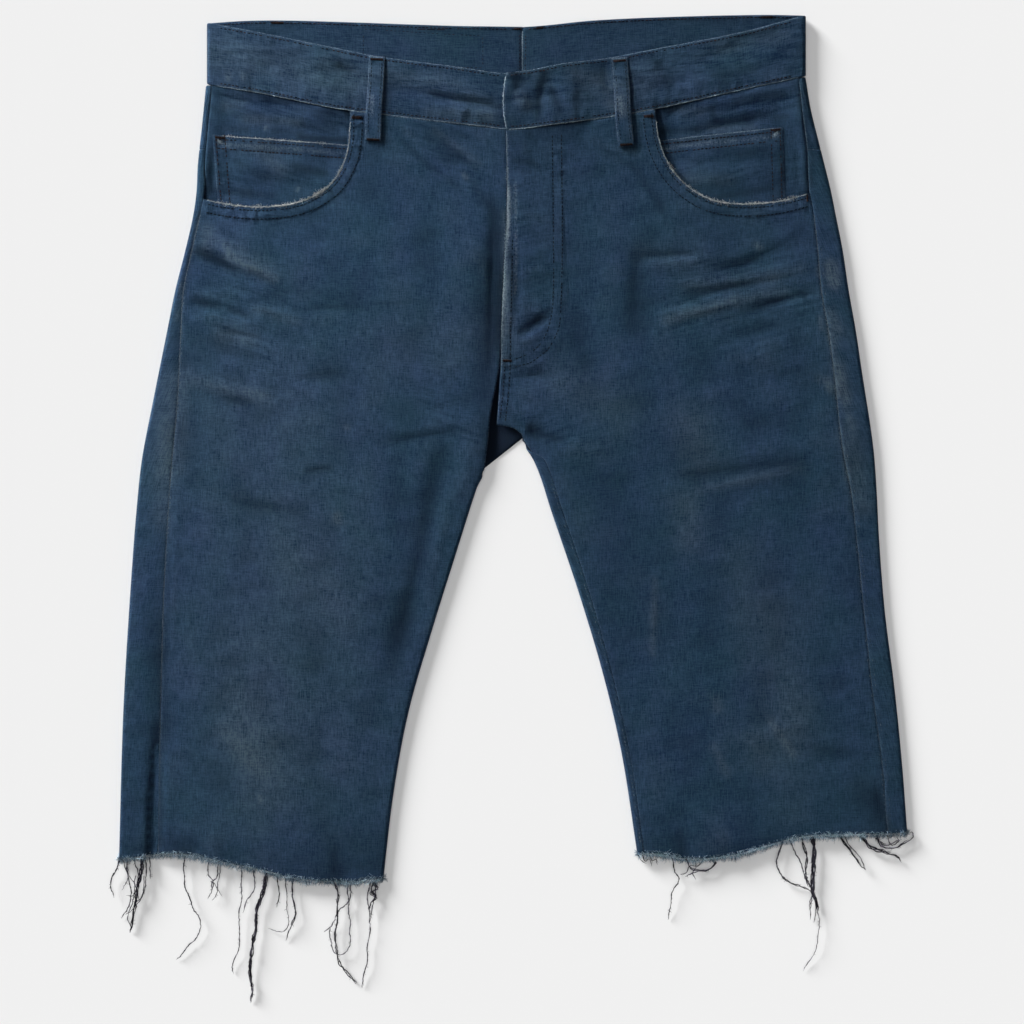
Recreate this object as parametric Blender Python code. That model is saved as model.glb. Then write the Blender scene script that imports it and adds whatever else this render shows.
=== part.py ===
"""Denim shorts, cut down from a pair of jeans and lying on their back on a flat surface.

The waist points to +Y, the fronts face up (+Z), and the origin is under the middle of the outline.
"right" and "left" are the wearer's, so the right leg lies at -X. All sizes in the tables are millimetres.
Each leg is a flattened tube: the back panels lie on the surface, roll up round the folded edges and
meet the front panels, which lie over them.
"""

import math
import random

import bpy
from mathutils import Vector
from mathutils.geometry import delaunay_2d_cdt

MM = 0.001

# Driving sizes
DENIM = 1.2  # wall of one layer of cloth
POCKET_CLOTH = 1.0  # wall of the pocket pieces
BAND_WALL = 2.4  # waistband, folded double
LOOP_WALL = 1.4  # belt loop, folded double
BACK_LOOP_WALL = 1.0
LOOP_WIDTH = 11.5
BACK_LOOP_LENGTH = 62.0
SEAM_GAP = 0.3
TORSO_LEVEL = 4.8  # middle of the upper layer above the crotch
LEG_LEVEL = 4.2  # and in the legs
LOOP_ROOM = 1.4  # how far the waist is lifted by the belt loops under it
BAND_OVER = 6.4  # middle of the waistband's front
BAND_UNDER = 2.5  # and of its back
BAND_HEIGHT = 43.0
BAND_EDGE = {"right": 219.7, "left": 211.6}  # w of its folded ends
CENTRE_BACK = 7.5  # x of the centre back seam, which lies a little off the middle
OVERLAP_END = 34.0  # x where the buttoned-under end of the waistband stops
OVERLAP_RISE = 2.1
SHIELD_GAP = 0.4  # between the fly shield and the fronts
FLY_RISE = 0.9  # the left front stands this much higher along the fly edge
HEM_STRIP = 1.8  # width of the frayed strip along each hem
HEM_TRIM = 1.2  # the panels end this much short of the hem line, which runs along the middle of the strip

# The two sides. w is the distance out from the middle line, edge is the folded outer edge of the outline,
# seam is the side seam where it shows on the front, and inner is the leg's inner folded edge.
OUTER = {
    "right": (  # y, edge, seam
        (311.0, 220.0, 215.4),
        (275.0, 223.6, 219.0),
        (249.8, 226.4, 221.2),
        (230.4, 227.4, 221.4),
        (213.8, 229.7, 224.6),
        (188.6, 235.4, 230.4),
        (159.8, 242.6, 236.5),
        (131.0, 248.4, 238.3),
        (80.6, 258.5, 240.8),
        (37.4, 266.8, 244.8),
        (8.6, 270.0, 247.0),
        (-56.2, 275.0, 250.6),
        (-142.6, 280.1, 253.1),
        (-252.0, 283.3, 255.2),
    ),
    "left": (
        (311.0, 211.7, 206.6),
        (289.4, 215.3, 208.9),
        (260.6, 222.5, 212.5),
        (231.8, 229.7, 214.2),
        (213.8, 233.3, 217.4),
        (188.6, 238.3, 220.3),
        (159.8, 242.6, 222.8),
        (131.0, 247.7, 228.0),
        (102.2, 252.0, 231.8),
        (44.6, 260.6, 238.3),
        (15.8, 262.8, 244.1),
        (-13.0, 264.2, 247.7),
        (-70.6, 268.6, 253.4),
        (-128.2, 275.8, 259.6),
        (-185.8, 281.5, 267.1),
        (-234.7, 285.1, 271.1),
    ),
}
INNER = {
    "right": (  # y, inner
        (51.8, 17.3),
        (33.1, 19.8),
        (15.8, 25.9),
        (-27.4, 39.6),
        (-85.0, 57.6),
        (-142.6, 74.2),
        (-200.2, 85.0),
        (-268.6, 93.2),
    ),
    "left": (
        (51.8, 8.3),
        (30.2, 18.7),
        (1.4, 28.1),
        (-56.2, 47.5),
        (-113.8, 64.8),
        (-171.4, 78.5),
        (-249.1, 90.7),
    ),
}
HEM = {
    "right": (  # w, y
        (95.8, -265.0),
        (116.6, -267.1),
        (138.2, -266.4),
        (159.8, -263.9),
        (180.0, -258.5),
        (203.0, -254.2),
        (224.6, -249.1),
        (242.6, -247.0),
        (255.6, -247.7),
        (267.8, -249.1),
        (283.3, -251.3),
    ),
    "left": (
        (90.6, -247.2),
        (106.2, -247.2),
        (120.2, -250.1),
        (134.6, -250.8),
        (149.0, -249.3),
        (163.2, -247.2),
        (177.4, -242.9),
        (191.5, -238.7),
        (205.9, -235.2),
        (220.1, -233.7),
        (248.4, -233.0),
        (277.1, -232.3),
        (285.6, -231.1),
    ),
}
# Centre front edges: the right front's runs on down the leg's inner edge, the left front's stops at the crotch.
FRONT_EDGE = {
    "right": (  # y, w
        (276.0, 4.2),
        (212.0, 3.6),
        (173.0, 5.6),
        (142.0, 7.2),
        (111.0, 8.4),
        (91.4, 11.5),
        (77.0, 14.4),
        (65.5, 16.2),
        (51.8, 17.3),
        (33.1, 19.8),
    ),
    "left": (
        (277.0, -3.6),
        (212.0, -2.9),
        (173.0, -5.0),
        (142.0, -6.6),
        (111.0, -7.4),
        (80.6, -9.4),
        (62.6, -10.8),
    ),
}
LEFT_CROTCH = ((-10.8, 62.6), (-5.0, 61.9), (1.4, 60.3), (6.6, 56.6))  # w, y of the left front's crotch edge

# Waistband edges: y over w, for the front's two edges and the back's top edge
BAND_TOP = {
    "right": ((-40.0, 317.5), (2.3, 315.6), (42.5, 320.9), (103.0, 329.0), (126.0, 333.8), (181.8, 345.2), (218.9, 352.1)),
    "left": ((-5.0, 316.0), (3.8, 316.4), (39.6, 323.1), (71.7, 327.2), (103.7, 333.4), (168.1, 346.1), (211.2, 357.7)),
}
BAND_BOTTOM = {
    "right": ((-40.0, 284.0), (-20.0, 280.0), (-4.0, 276.6), (4.5, 275.6), (20.0, 277.2), (57.6, 281.5), (90.9, 285.6), (125.8, 289.9), (181.9, 301.2), (220.0, 307.4)),
    "left": ((-5.0, 274.6), (3.0, 275.0), (23.5, 277.5), (55.7, 281.9), (103.7, 289.9), (168.1, 304.1), (210.2, 313.2)),
}
BAND_BACK = {
    "right": ((-8.0, 349.6), (43.9, 350.4), (126.0, 353.2), (163.7, 354.2), (194.0, 353.8), (218.9, 352.1)),
    "left": ((6.5, 349.3), (23.5, 350.6), (55.4, 353.9), (87.8, 355.8), (136.1, 357.4), (184.3, 358.2), (211.2, 357.7)),
}
YOKE_AT_SIDE, YOKE_AT_CENTRE = 261.0, 226.0  # y of the yoke seam at the outer edge and at the centre back
BACK_CROTCH = {  # w, y of the back's edge from the centre back seam to the top of the leg's inner edge
    "right": ((-7.3, 53.3), (7.0, 42.0), (21.9, 30.2), (25.3, 29.8)),
    "left": ((7.7, 51.4), (8.6, 50.6)),
}

# The mouth of each front pocket, from the waist seam to the side seam
MOUTH = {
    "right": (  # w, y
        (116.4, 288.6),
        (117.0, 268.0),
        (120.2, 253.4),
        (129.6, 237.0),
        (145.4, 226.1),
        (159.8, 221.6),
        (180.0, 219.6),
        (195.8, 220.3),
        (213.8, 223.2),
        (221.6, 225.0),
    ),
    "left": (
        (103.0, 289.5),
        (104.4, 275.0),
        (108.0, 260.6),
        (116.6, 244.8),
        (128.2, 233.3),
        (144.0, 224.8),
        (164.2, 221.8),
        (189.4, 223.2),
        (214.6, 229.2),
    ),
}
COIN_POCKET = {
    "right": ((215.2, 271.2), (110.5, 263.6), (113.0, 244.0), (126.0, 224.0), (152.0, 211.5), (182.0, 209.5), (211.0, 213.5)),
    "left": ((194.8, 276.8), (97.0, 266.4), (100.5, 246.0), (116.0, 226.0), (142.0, 213.5), (170.0, 211.0), (197.0, 213.0)),
}
FACING_MARGIN = 14.0  # how far the pocket facing runs on under the front panel
FACING_LOW, FACING_HIGH = 2.1, 3.7  # its middle under the mouth and in the open
FACING_RAMP = (5.0, 28.0)  # distances in from the mouth over which it rises

SHIELD_OUTLINE = (  # x, y of the strip behind the fly
    (-12.0, 274.0),
    (-12.0, 200.0),
    (-13.0, 150.0),
    (-14.5, 116.0),
    (0.0, 118.0),
    (14.0, 124.0),
    (26.0, 136.0),
    (30.0, 152.0),
    (30.0, 200.0),
    (30.0, 277.0),
    (10.0, 274.8),
)
# Belt loops: x and y of both ends of those on the front, and of the top of those under the back
FRONT_LOOPS = {"right": ((-97.2, 327.6), (-100.1, 265.7)), "left": ((77.0, 326.6), (82.1, 262.1))}
FRONT_LOOP_LEVELS = (8.7, 9.3, 9.6, 9.2, 8.1)  # of a front loop's middle, evenly spaced from its top
BACK_LOOPS = {"right": (-169.2, 354.0), "centre": (9.4, 349.2), "left": (183.6, 358.0)}

# Creases in the upper layer: a ridge is a positive height, a trough a negative one
CREASES = (  # x1, y1, x2, y2, height, half width
    (-229.0, 189.0, -192.0, 172.0, -0.9, 5.0),
    (-213.0, 195.0, -176.0, 170.0, 0.8, 5.0),
    (-233.0, 153.0, -180.0, 138.5, -0.8, 5.5),
    (-222.0, 143.0, -156.0, 131.0, 0.6, 7.0),
    (-233.0, 124.0, -193.0, 121.0, -0.6, 6.0),
    (-222.0, 98.0, -190.0, 90.0, -0.5, 7.0),
    (-65.0, 272.0, -22.0, 249.0, -0.6, 6.0),
    (-52.0, 76.0, -22.0, 84.0, -0.6, 5.0),
    (-24.0, 62.0, -40.0, 0.0, 0.9, 9.0),
    (125.0, 156.0, 213.0, 171.0, -0.9, 5.0),
    (130.0, 144.0, 214.0, 174.0, 0.4, 5.0),
    (158.0, 141.0, 216.0, 160.0, -0.9, 5.0),
    (143.0, 173.0, 196.0, 191.0, -0.7, 6.0),
    (174.0, 118.0, 202.0, 124.0, 0.6, 7.0),
    (10.0, 60.0, 22.0, 56.0, -1.0, 5.0),
    (20.0, 52.0, 78.0, 40.0, 0.5, 9.0),
    (4.0, 132.0, 27.0, 141.0, -0.5, 5.0),
    (8.0, 178.0, 29.0, 183.0, -0.5, 5.0),
    (165.0, 58.0, 212.0, 64.0, -0.4, 8.0),
    (-255.0, -60.0, -254.0, -165.0, -0.5, 7.0),
    (-254.0, -150.0, -256.0, -330.0, -1.9, 5.5),
    (-262.0, -190.0, -262.0, -330.0, 0.6, 7.0),
    (-196.0, -150.0, -170.0, -330.0, 0.6, 16.0),
    (196.0, -120.0, 214.0, -300.0, 0.5, 16.0),
)
PUFF = 0.6  # how far the middle of each leg's upper layer stands above its edges

# Loose threads of the frayed hems: w of the root on the hem, thickness, and the places that it runs through
THREADS = {
    "right": (  # root w, thickness, (w, y) ...
        (280.0, 0.8, ((288.0, -264.0), (287.4, -278.0))),
        (275.5, 0.8, ((274.5, -275.0), (282.0, -293.0))),
        (267.5, 0.9, ((272.0, -284.0), (276.0, -303.0))),
        (262.5, 0.8, ((263.5, -269.0), (268.0, -281.0))),
        (236.0, 0.6, ((235.0, -270.0), (225.0, -294.0), (228.0, -307.0), (242.0, -323.0))),
        (218.0, 0.8, ((215.0, -268.0), (218.0, -277.0))),
        (195.0, 0.6, ((195.0, -279.0), (196.0, -305.0), (201.0, -333.0))),
        (187.5, 0.8, ((187.0, -272.0), (191.0, -283.0), (193.5, -289.0))),
        (177.5, 1.3, ((183.0, -284.0), (187.0, -315.0), (188.0, -339.0), (189.0, -357.6))),
        (169.0, 0.7, ((168.0, -277.0), (169.0, -285.0))),
        (159.0, 0.9, ((158.0, -277.0), (158.0, -296.0), (163.0, -309.0))),
        (128.0, 0.8, ((126.0, -291.0), (125.0, -323.0), (112.0, -340.0))),
        (117.5, 0.7, ((117.0, -293.0), (118.0, -314.0), (121.0, -318.5))),
        (103.0, 0.8, ((104.0, -281.0), (103.0, -305.0), (105.0, -326.0), (109.0, -343.0))),
        (97.5, 0.7, ((98.5, -278.0), (99.5, -286.0))),
    ),
    "left": (
        (116.0, 0.8, ((119.0, -262.0), (114.0, -283.0), (113.0, -294.0))),
        (127.0, 0.7, ((134.0, -258.5), (143.0, -259.5))),
        (195.0, 0.8, ((193.0, -254.0), (197.0, -265.0), (208.0, -270.0))),
        (200.5, 0.7, ((205.0, -250.0), (208.0, -254.0))),
        (209.5, 0.9, ((212.5, -252.0), (213.0, -267.0), (214.5, -289.0))),
        (216.5, 1.2, ((217.5, -255.0), (217.5, -274.0), (220.5, -296.0), (210.0, -331.0))),
        (237.0, 0.8, ((248.0, -250.0), (255.0, -258.0))),
        (252.0, 0.8, ((262.0, -243.5), (276.0, -248.5), (280.0, -253.0))),
        (264.0, 0.7, ((276.0, -243.0), (288.6, -233.4))),
    ),
}
TUFT_SPACING = 7.0  # between the short tufts of a frayed edge
TUFT_LENGTH = (3.0, 4.6)
TUFT_WIDTH = 0.8
DRAPE_RUN = 13.0  # a long thread from the upper layer comes down to the surface within this length
THREAD_LEVEL = 0.95  # middle of a thread that lies on the surface
THREAD_STEP = 9.0
ROOT_LENGTH = 1.0  # a thread leaves its strip this far before it bends

# Mesh spacing
FRONT_STEP = 18.0
WAIST_STEP = 12.0
FRONT_HEM_STEP = 11.0
BACK_HEM_STEP = 16.0
BACK_STEP = 28.0
SMALL_STEP = 11.0
EDGE_STEP = 12.0  # along the fly edge
ROLL_STEP = 2.2  # where a leg closes round its inner edge
LEG_STEP = 15.0  # along a leg's other edges
CENTRE_STEP = 20.0  # along the centre back
MOUTH_STEP = 9.0
LEAST_STEP = 0.6
ARC_STEPS = 4
ARC_STRETCH = 5.0  # folds are spread this much wider while the mesh is laid out
LEG_SPREAD = 200.0  # and the cloth between them is laid out this wide

SIGN = {"right": -1.0, "left": 1.0}
INNER_FOLD_TOP = {"right": 29.4, "left": 50.0}  # y below which the leg closes round its inner edge
INNER_ROLL_RUN = 13.0  # length of leg over which that roll grows to its full turn
UNDER_INSEAM = 5.0  # the right inseam lies this far in on the underside
INSEAM_SHOWS = ((50.0, 8.0), (15.8, 7.9), (-27.4, 7.9), (-142.6, 6.0), (-250.0, 4.9))  # y, inset of the left inseam

FABRIC = {  # red, green, blue, roughness
    "denim": (0.036, 0.066, 0.112, 0.88),
    "worn": (0.060, 0.092, 0.136, 0.86),
    "fray": (0.140, 0.190, 0.250, 0.90),
}


def smooth_step(low, high, value):
    """0 below low, 1 above high, and an even S between them."""
    t = min(1.0, max(0.0, (value - low) / (high - low)))
    return t * t * (3.0 - 2.0 * t)


def smooth_through(knots):
    """A smooth function through (at, value) knots, straight beyond its ends."""
    knots = sorted(knots)
    at = [k[0] for k in knots]
    value = [k[1] for k in knots]
    last = len(at) - 1
    secant = [(value[i + 1] - value[i]) / (at[i + 1] - at[i]) for i in range(last)]
    slope = [secant[0]] + [(secant[i - 1] + secant[i]) / 2 for i in range(1, last)] + [secant[-1]]

    def read(x):
        if x <= at[0]:
            return value[0] + slope[0] * (x - at[0])
        if x >= at[last]:
            return value[last] + slope[last] * (x - at[last])
        i = next(k for k in range(last) if x <= at[k + 1])
        span = at[i + 1] - at[i]
        t = (x - at[i]) / span
        return (
            value[i] * (1 + 2 * t) * (1 - t) ** 2
            + slope[i] * span * t * (1 - t) ** 2
            + value[i + 1] * t * t * (3 - 2 * t)
            + slope[i + 1] * span * t * t * (t - 1)
        )

    return read


def smooth_line(points, step):
    """Points about step apart on a smooth line through the given ones, both ends included."""
    run = [0.0]
    for a, b in zip(points, points[1:]):
        run.append(run[-1] + math.dist(a, b))
    across = smooth_through([(r, p[0]) for r, p in zip(run, points)])
    along = smooth_through([(r, p[1]) for r, p in zip(run, points)])
    count = max(1, round(run[-1] / step))
    return [(across(run[-1] * i / count), along(run[-1] * i / count)) for i in range(count + 1)]


EDGE = {side: smooth_through([(y, edge) for y, edge, _ in OUTER[side]]) for side in OUTER}
SIDE_SEAM = {side: smooth_through([(y, seam) for y, _, seam in OUTER[side]]) for side in OUTER}
INNER_EDGE = {side: smooth_through(INNER[side]) for side in INNER}
HEM_LINE = {side: smooth_through(HEM[side]) for side in HEM}
FRONT_LINE = {side: smooth_through(FRONT_EDGE[side]) for side in FRONT_EDGE}
BAND_TOP_LINE = {side: smooth_through(BAND_TOP[side]) for side in BAND_TOP}
BAND_BOTTOM_LINE = {side: smooth_through(BAND_BOTTOM[side]) for side in BAND_BOTTOM}
BAND_BACK_LINE = {side: smooth_through(BAND_BACK[side]) for side in BAND_BACK}
INSEAM_INSET = smooth_through(INSEAM_SHOWS)


# Levels of the two layers


def lift(y):
    """The belt loops under the back waistband hold the waist up."""
    return LOOP_ROOM * smooth_step(235.0, 284.0, y)


def under_level(y):
    return DENIM / 2 + lift(y)


def over_level(y):
    return LEG_LEVEL + (TORSO_LEVEL - LEG_LEVEL) * smooth_step(20.0, 90.0, y) + lift(y)


def fold_radius(y):
    """Radius of the cloth's middle where it turns from the under layer to the upper one."""
    return (over_level(y) - under_level(y)) / 2


def closing(side, y):
    """How far the leg has closed round its inner edge: 0 at the crotch, 1 a little below it."""
    return smooth_step(INNER_FOLD_TOP[side], INNER_FOLD_TOP[side] - INNER_ROLL_RUN, y)


def fold_starts(side, y):
    """w where the outer and the inner fold begin to curve."""
    inset = DENIM / 2 + fold_radius(y)
    inner = INNER_EDGE[side](min(y, INNER[side][0][0]))
    return EDGE[side](y) - inset, inner + inset * math.sqrt(closing(side, y))


def crease_height(x, y):
    total = 0.0
    for x1, y1, x2, y2, height, width in CREASES:
        dx, dy = x2 - x1, y2 - y1
        t = ((x - x1) * dx + (y - y1) * dy) / (dx * dx + dy * dy)
        if 0.0 < t < 1.0:
            away = math.hypot(x - x1 - t * dx, y - y1 - t * dy)
            total += height * math.sin(math.pi * t) ** 0.7 * math.exp(-((away / width) ** 2))
    return total


def upper_height(side, w, y):
    """Middle of the upper layer at w, with its puff and creases, which die out towards the folds."""
    outer, inner = fold_starts(side, y)
    share = min(1.0, max(0.0, (w - inner) / (outer - inner)))
    calm = smooth_step(284.0, 262.0, y) * smooth_step(0.0, 9.0, outer - w)
    calm *= max(smooth_step(0.0, 9.0, w - inner), 1.0 - closing(side, y))
    shape = PUFF * 4 * share * (1 - share) * smooth_step(150.0, 20.0, y) + crease_height(SIGN[side] * w, y)
    return over_level(y) + calm * shape


def cloth_point(side, layer, p, y):
    """Middle of the cloth at p on the row at y, for layer +1 (upper) or -1 (under).

    Between the folds p is w. Past a fold it keeps counting along the cloth, round the turn and on.
    """
    radius = fold_radius(y)
    centre = (over_level(y) + under_level(y)) / 2
    outer, inner = fold_starts(side, y)
    w, turn, past = p, 0.0, 0.0
    if p > outer:
        turn = min((p - outer) / radius, math.pi)
        past = max(0.0, p - outer - math.pi * radius)
        w = outer + radius * math.sin(turn) - past
    elif p < inner and y < INNER_FOLD_TOP[side]:
        turn = min((inner - p) / radius, math.pi)
        past = max(0.0, inner - p - math.pi * radius)
        w = inner - radius * math.sin(turn) + past
    if 0.0 < turn < math.pi:
        z = centre + layer * radius * math.cos(turn)
    elif (layer > 0) == (turn == 0.0):
        z = upper_height(side, w, y)
    else:
        z = under_level(y)
    return Vector((SIGN[side] * w, y, z))


def inner_run(side, y):
    """How far the cloth runs on past the start of the inner fold before the inseam ends it."""
    whole = math.pi * fold_radius(y)
    if side == "right":
        whole += UNDER_INSEAM
    else:
        whole += max(0.0, INSEAM_INSET(y) - DENIM / 2 - fold_radius(y))
    return whole * closing(side, y)


def outer_run(side, y):
    """How far the back runs on past the start of the outer fold to reach the side seam on the front."""
    outer, _ = fold_starts(side, y)
    return math.pi * fold_radius(y) + max(0.5, outer - SIDE_SEAM[side](y)) - SEAM_GAP / 2


def stations(side, y_inner, y_outer, low, high, step):
    """Values of p from low to high, with extra ones round each fold, which is read at the y given for it."""
    outer, inner = fold_starts(side, y_outer)[0], fold_starts(side, y_inner)[1]
    stops = [outer + math.pi * fold_radius(y_outer) * k / ARC_STEPS for k in range(ARC_STEPS + 1)]
    if y_inner < INNER_FOLD_TOP[side]:
        stops += [inner - math.pi * fold_radius(y_inner) * k / ARC_STEPS for k in range(ARC_STEPS + 1)]
    stops = [low] + sorted(s for s in stops if low + LEAST_STEP < s < high - LEAST_STEP) + [high]
    found = [low]
    for a, b in zip(stops, stops[1:]):
        count = max(1, round((b - a) / step))
        found += [a + (b - a) * (i + 1) / count for i in range(count)]
    return found


def column(edge_at, top, bottom, step):
    """Outline points along an edge whose p is a function of y, both ends included."""
    count = max(1, round(abs(top - bottom) / step))
    rows = [top + (bottom - top) * i / count for i in range(count + 1)]
    return [(edge_at(y), y) for y in rows]


def meeting(edge_at, line, y):
    """(p, y) where an edge, given as p over y, meets a cross seam, given as y at a place."""
    for _ in range(6):
        y = line(edge_at(y), y)
    return edge_at(y), y


def cross_seam(side, line, low_edge, high_edge, y, step):
    """Outline points along a cross seam near y, from one edge to the other."""
    low, high = meeting(low_edge, line, y), meeting(high_edge, line, y)
    between = stations(side, low[1], high[1], low[0], high[0], step)[1:-1]
    return [low] + [meeting(lambda _, at=p: at, line, y) for p in between] + [high]


def hem_seam(side, layer, low_edge, high_edge, step):
    """The panels' hem, a little inside the hem line."""

    def line(p, y):
        return HEM_LINE[side](abs(cloth_point(side, layer, p, y).x)) + HEM_TRIM

    return cross_seam(side, line, low_edge, high_edge, -250.0, step)


def spread(side, p, y):
    """The cloth laid out flat with its folds straight and stretched, where the mesh is worked out."""
    outer, inner = fold_starts(side, y)
    arc = math.pi * fold_radius(y)
    if p > outer:
        return LEG_SPREAD + ARC_STRETCH * min(p - outer, arc) + max(0.0, p - outer - arc), y
    if p < inner and y >= INNER_FOLD_TOP[side]:
        return p - inner, y
    if p < inner:
        return -ARC_STRETCH * min(inner - p, arc) - max(0.0, inner - p - arc), y
    return LEG_SPREAD * (p - inner) / (outer - inner), y


# Meshes


def inside(point, outline):
    x, y = point
    hit = False
    for (x1, y1), (x2, y2) in zip(outline, outline[1:] + outline[:1]):
        if (y1 > y) != (y2 > y) and x < x1 + (y - y1) / (y2 - y1) * (x2 - x1):
            hit = not hit
    return hit


def distance_to(point, line):
    """Shortest distance from point to a line of points."""
    best = math.inf
    px, py = point
    for (x1, y1), (x2, y2) in zip(line, line[1:]):
        dx, dy = x2 - x1, y2 - y1
        t = ((px - x1) * dx + (py - y1) * dy) / max(dx * dx + dy * dy, 1e-9)
        t = min(1.0, max(0.0, t))
        best = min(best, math.hypot(px - x1 - t * dx, py - y1 - t * dy))
    return best


def filled(outline, extra, clear, laid_out):
    """Triangles that fill an outline, through the extra points that lie well inside it."""
    rim = [laid_out(*p) for p in outline]
    kept = [p for p in extra if inside(laid_out(*p), rim) and distance_to(laid_out(*p), rim + rim[:1]) > clear]
    points = outline + kept
    found = delaunay_2d_cdt([Vector(laid_out(*p)) for p in points], [], [list(range(len(outline)))], 1, 1e-5)
    return [points[origin[0]] for origin in found[3]], [tuple(f) for f in found[2]]


def object_from(name, points, faces, fabric):
    mesh = bpy.data.meshes.new(name)
    mesh.from_pydata([Vector(p) * MM for p in points], [], faces)
    mesh.validate()
    mesh.update()
    mesh.shade_smooth()
    mesh.set_sharp_from_angle(angle=math.radians(40))
    obj = bpy.data.objects.new(name, mesh)
    bpy.context.scene.collection.objects.link(obj)
    obj.data.materials.append(fabric_material(name, fabric))
    return obj


def fabric_material(name, fabric):
    red, green, blue, roughness = FABRIC[fabric]
    material = bpy.data.materials.new(name)
    material.use_nodes = True
    shader = material.node_tree.nodes["Principled BSDF"]
    shader.inputs["Base Color"].default_value = (red, green, blue, 1.0)
    shader.inputs["Roughness"].default_value = roughness
    shader.inputs["Metallic"].default_value = 0.0
    return material


def normal_at(place, p, y, step=0.05):
    """Upward or outward direction of a mapped sheet at (p, y)."""
    across = place(p + step, y) - place(p - step, y)
    along = place(p, y + step) - place(p, y - step)
    return across.cross(along).normalized()


def wall(name, outline, extra, place, thickness, fabric, clear=4.0, laid_out=lambda p, y: (p, y)):
    """A closed wall of even thickness on a mapped sheet. outline and extra are in the sheet's (p, y)."""
    flat, faces = filled(outline, extra, clear, laid_out)
    middle = [place(p, y) for p, y in flat]
    offset = [normal_at(place, p, y) * thickness / 2 for p, y in flat]
    count = len(flat)
    points = [m + n for m, n in zip(middle, offset)] + [m - n for m, n in zip(middle, offset)]
    shell = faces + [tuple(count + i for i in reversed(f)) for f in faces]
    edges = {(a, b) for f in faces for a, b in zip(f, f[1:] + f[:1])}
    shell += [(b, a, count + a, count + b) for a, b in sorted(edges) if (b, a) not in edges]
    return object_from(name, points, oriented(points, shell), fabric)


def oriented(points, faces):
    """The faces of a closed body, turned to face out if they face in."""
    volume = 0.0
    for f in faces:
        for i in range(1, len(f) - 1):
            a, b, c = (Vector(points[k]) for k in (f[0], f[i], f[i + 1]))
            volume += a.dot(b.cross(c))
    return faces if volume > 0 else [f[::-1] for f in faces]


def row_points(side, low_at, high_at, bottom, top, step):
    """Inner points of a panel: rows every step in y, each with its stations."""
    found = []
    for i in range(1, round((top - bottom) / step)):
        y = bottom + (top - bottom) * i / round((top - bottom) / step)
        found += [(p, y) for p in stations(side, y, y, low_at(y), high_at(y), step)]
    return found


def crease_points(side, step=13.0):
    """Points along each crease and its two sides, so that the mesh follows it."""
    found = []
    for x1, y1, x2, y2, _, width in CREASES:
        if (x1 + x2) * SIGN[side] < 0:
            continue
        length = math.hypot(x2 - x1, y2 - y1)
        nx, ny = -(y2 - y1) / length, (x2 - x1) / length
        count = max(2, round(length / step))
        for i in range(1, count):
            for aside in (-1.3 * width, 0.0, 1.3 * width):
                x = x1 + (x2 - x1) * i / count + nx * aside
                y = y1 + (y2 - y1) * i / count + ny * aside
                found.append((SIGN[side] * x, y))
    return found


def thinned(points, gap):
    """The points that lie at least gap from those kept before them."""
    kept = []
    for p in points:
        if all(math.dist(p, k) >= gap for k in kept):
            kept.append(p)
    return kept


# The pieces


def waist_seam(side, w):
    """y of the waist seam on the front, just under the waistband."""
    return BAND_BOTTOM_LINE[side](w) - SEAM_GAP


def fly_rise(side, w, y):
    """The left front lies over the right one along the fly."""
    if side == "right":
        return 0.0
    return FLY_RISE * smooth_step(26.0, 4.0, w) * smooth_step(84.0, 120.0, y)


def front_place(side):
    def place(p, y):
        point = cloth_point(side, 1, p, y)
        point.z += fly_rise(side, p, y)
        return point

    return place


def front_inner(side):
    """p of the front's inner edge below the crotch."""

    def read(y):
        _, inner = fold_starts(side, y)
        if side == "right":
            return inner - inner_run(side, y)
        return inner + SEAM_GAP + max(0.0, inner_run(side, y) - math.pi * fold_radius(y))

    return read


def side_seam(side):
    """w of the front's and the facing's edge at the side seam."""
    return lambda y: SIDE_SEAM[side](y) - SEAM_GAP / 2


def front_hem(side):
    return hem_seam(side, 1, front_inner(side), side_seam(side), FRONT_HEM_STEP)


def front_panel(side):
    seam, inner = side_seam(side), front_inner(side)
    start = MOUTH[side][0][0]
    middle = meeting(FRONT_LINE[side], lambda w, y: waist_seam(side, w), 275.0)
    count = round((start - middle[0]) / WAIST_STEP)
    across = [start + (middle[0] - start) * i / count for i in range(count)]
    outline = [(w, waist_seam(side, w)) for w in across]
    hem = front_hem(side)
    if side == "right":
        fold_top = INNER_FOLD_TOP[side]
        outline += column(FRONT_LINE[side], middle[1], fold_top + ROLL_STEP, EDGE_STEP)
    else:
        fold_top = LEFT_CROTCH[-1][1] - 6.0
        outline += column(FRONT_LINE[side], middle[1], LEFT_CROTCH[0][1], EDGE_STEP)[:-1] + list(LEFT_CROTCH)
    closed = INNER_FOLD_TOP[side] - INNER_ROLL_RUN
    outline += column(inner, fold_top, closed, ROLL_STEP)
    outline += column(inner, closed, hem[0][1], LEG_STEP)[1:-1]
    outline += hem
    outline += column(seam, hem[-1][1], MOUTH[side][-1][1], LEG_STEP)[1:]
    outline += [(min(w, seam(y)), y) for w, y in smooth_line(MOUTH[side], MOUTH_STEP)[-2:0:-1]]

    def low(y):
        return inner(y) if y < fold_top else FRONT_LINE[side](y)

    folds = thinned(crease_points(side), 6.0)
    rows = row_points(side, low, seam, -262.0, 284.0, FRONT_STEP)
    rows = [r for r in rows if on_fold(side, r) or min(math.dist(r, f) for f in folds) > 8.0]
    layout = lambda w, y: spread(side, w, y)
    return wall(f"front_panel_{side}", outline, folds + rows, front_place(side), DENIM, "denim", 2.5, layout)


def on_fold(side, place):
    outer, inner = fold_starts(side, place[1])
    return place[0] > outer - 0.1 or (place[0] < inner + 0.1 and place[1] < INNER_FOLD_TOP[side])


def back_place(side):
    return lambda p, y: cloth_point(side, -1, p, y)


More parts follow.
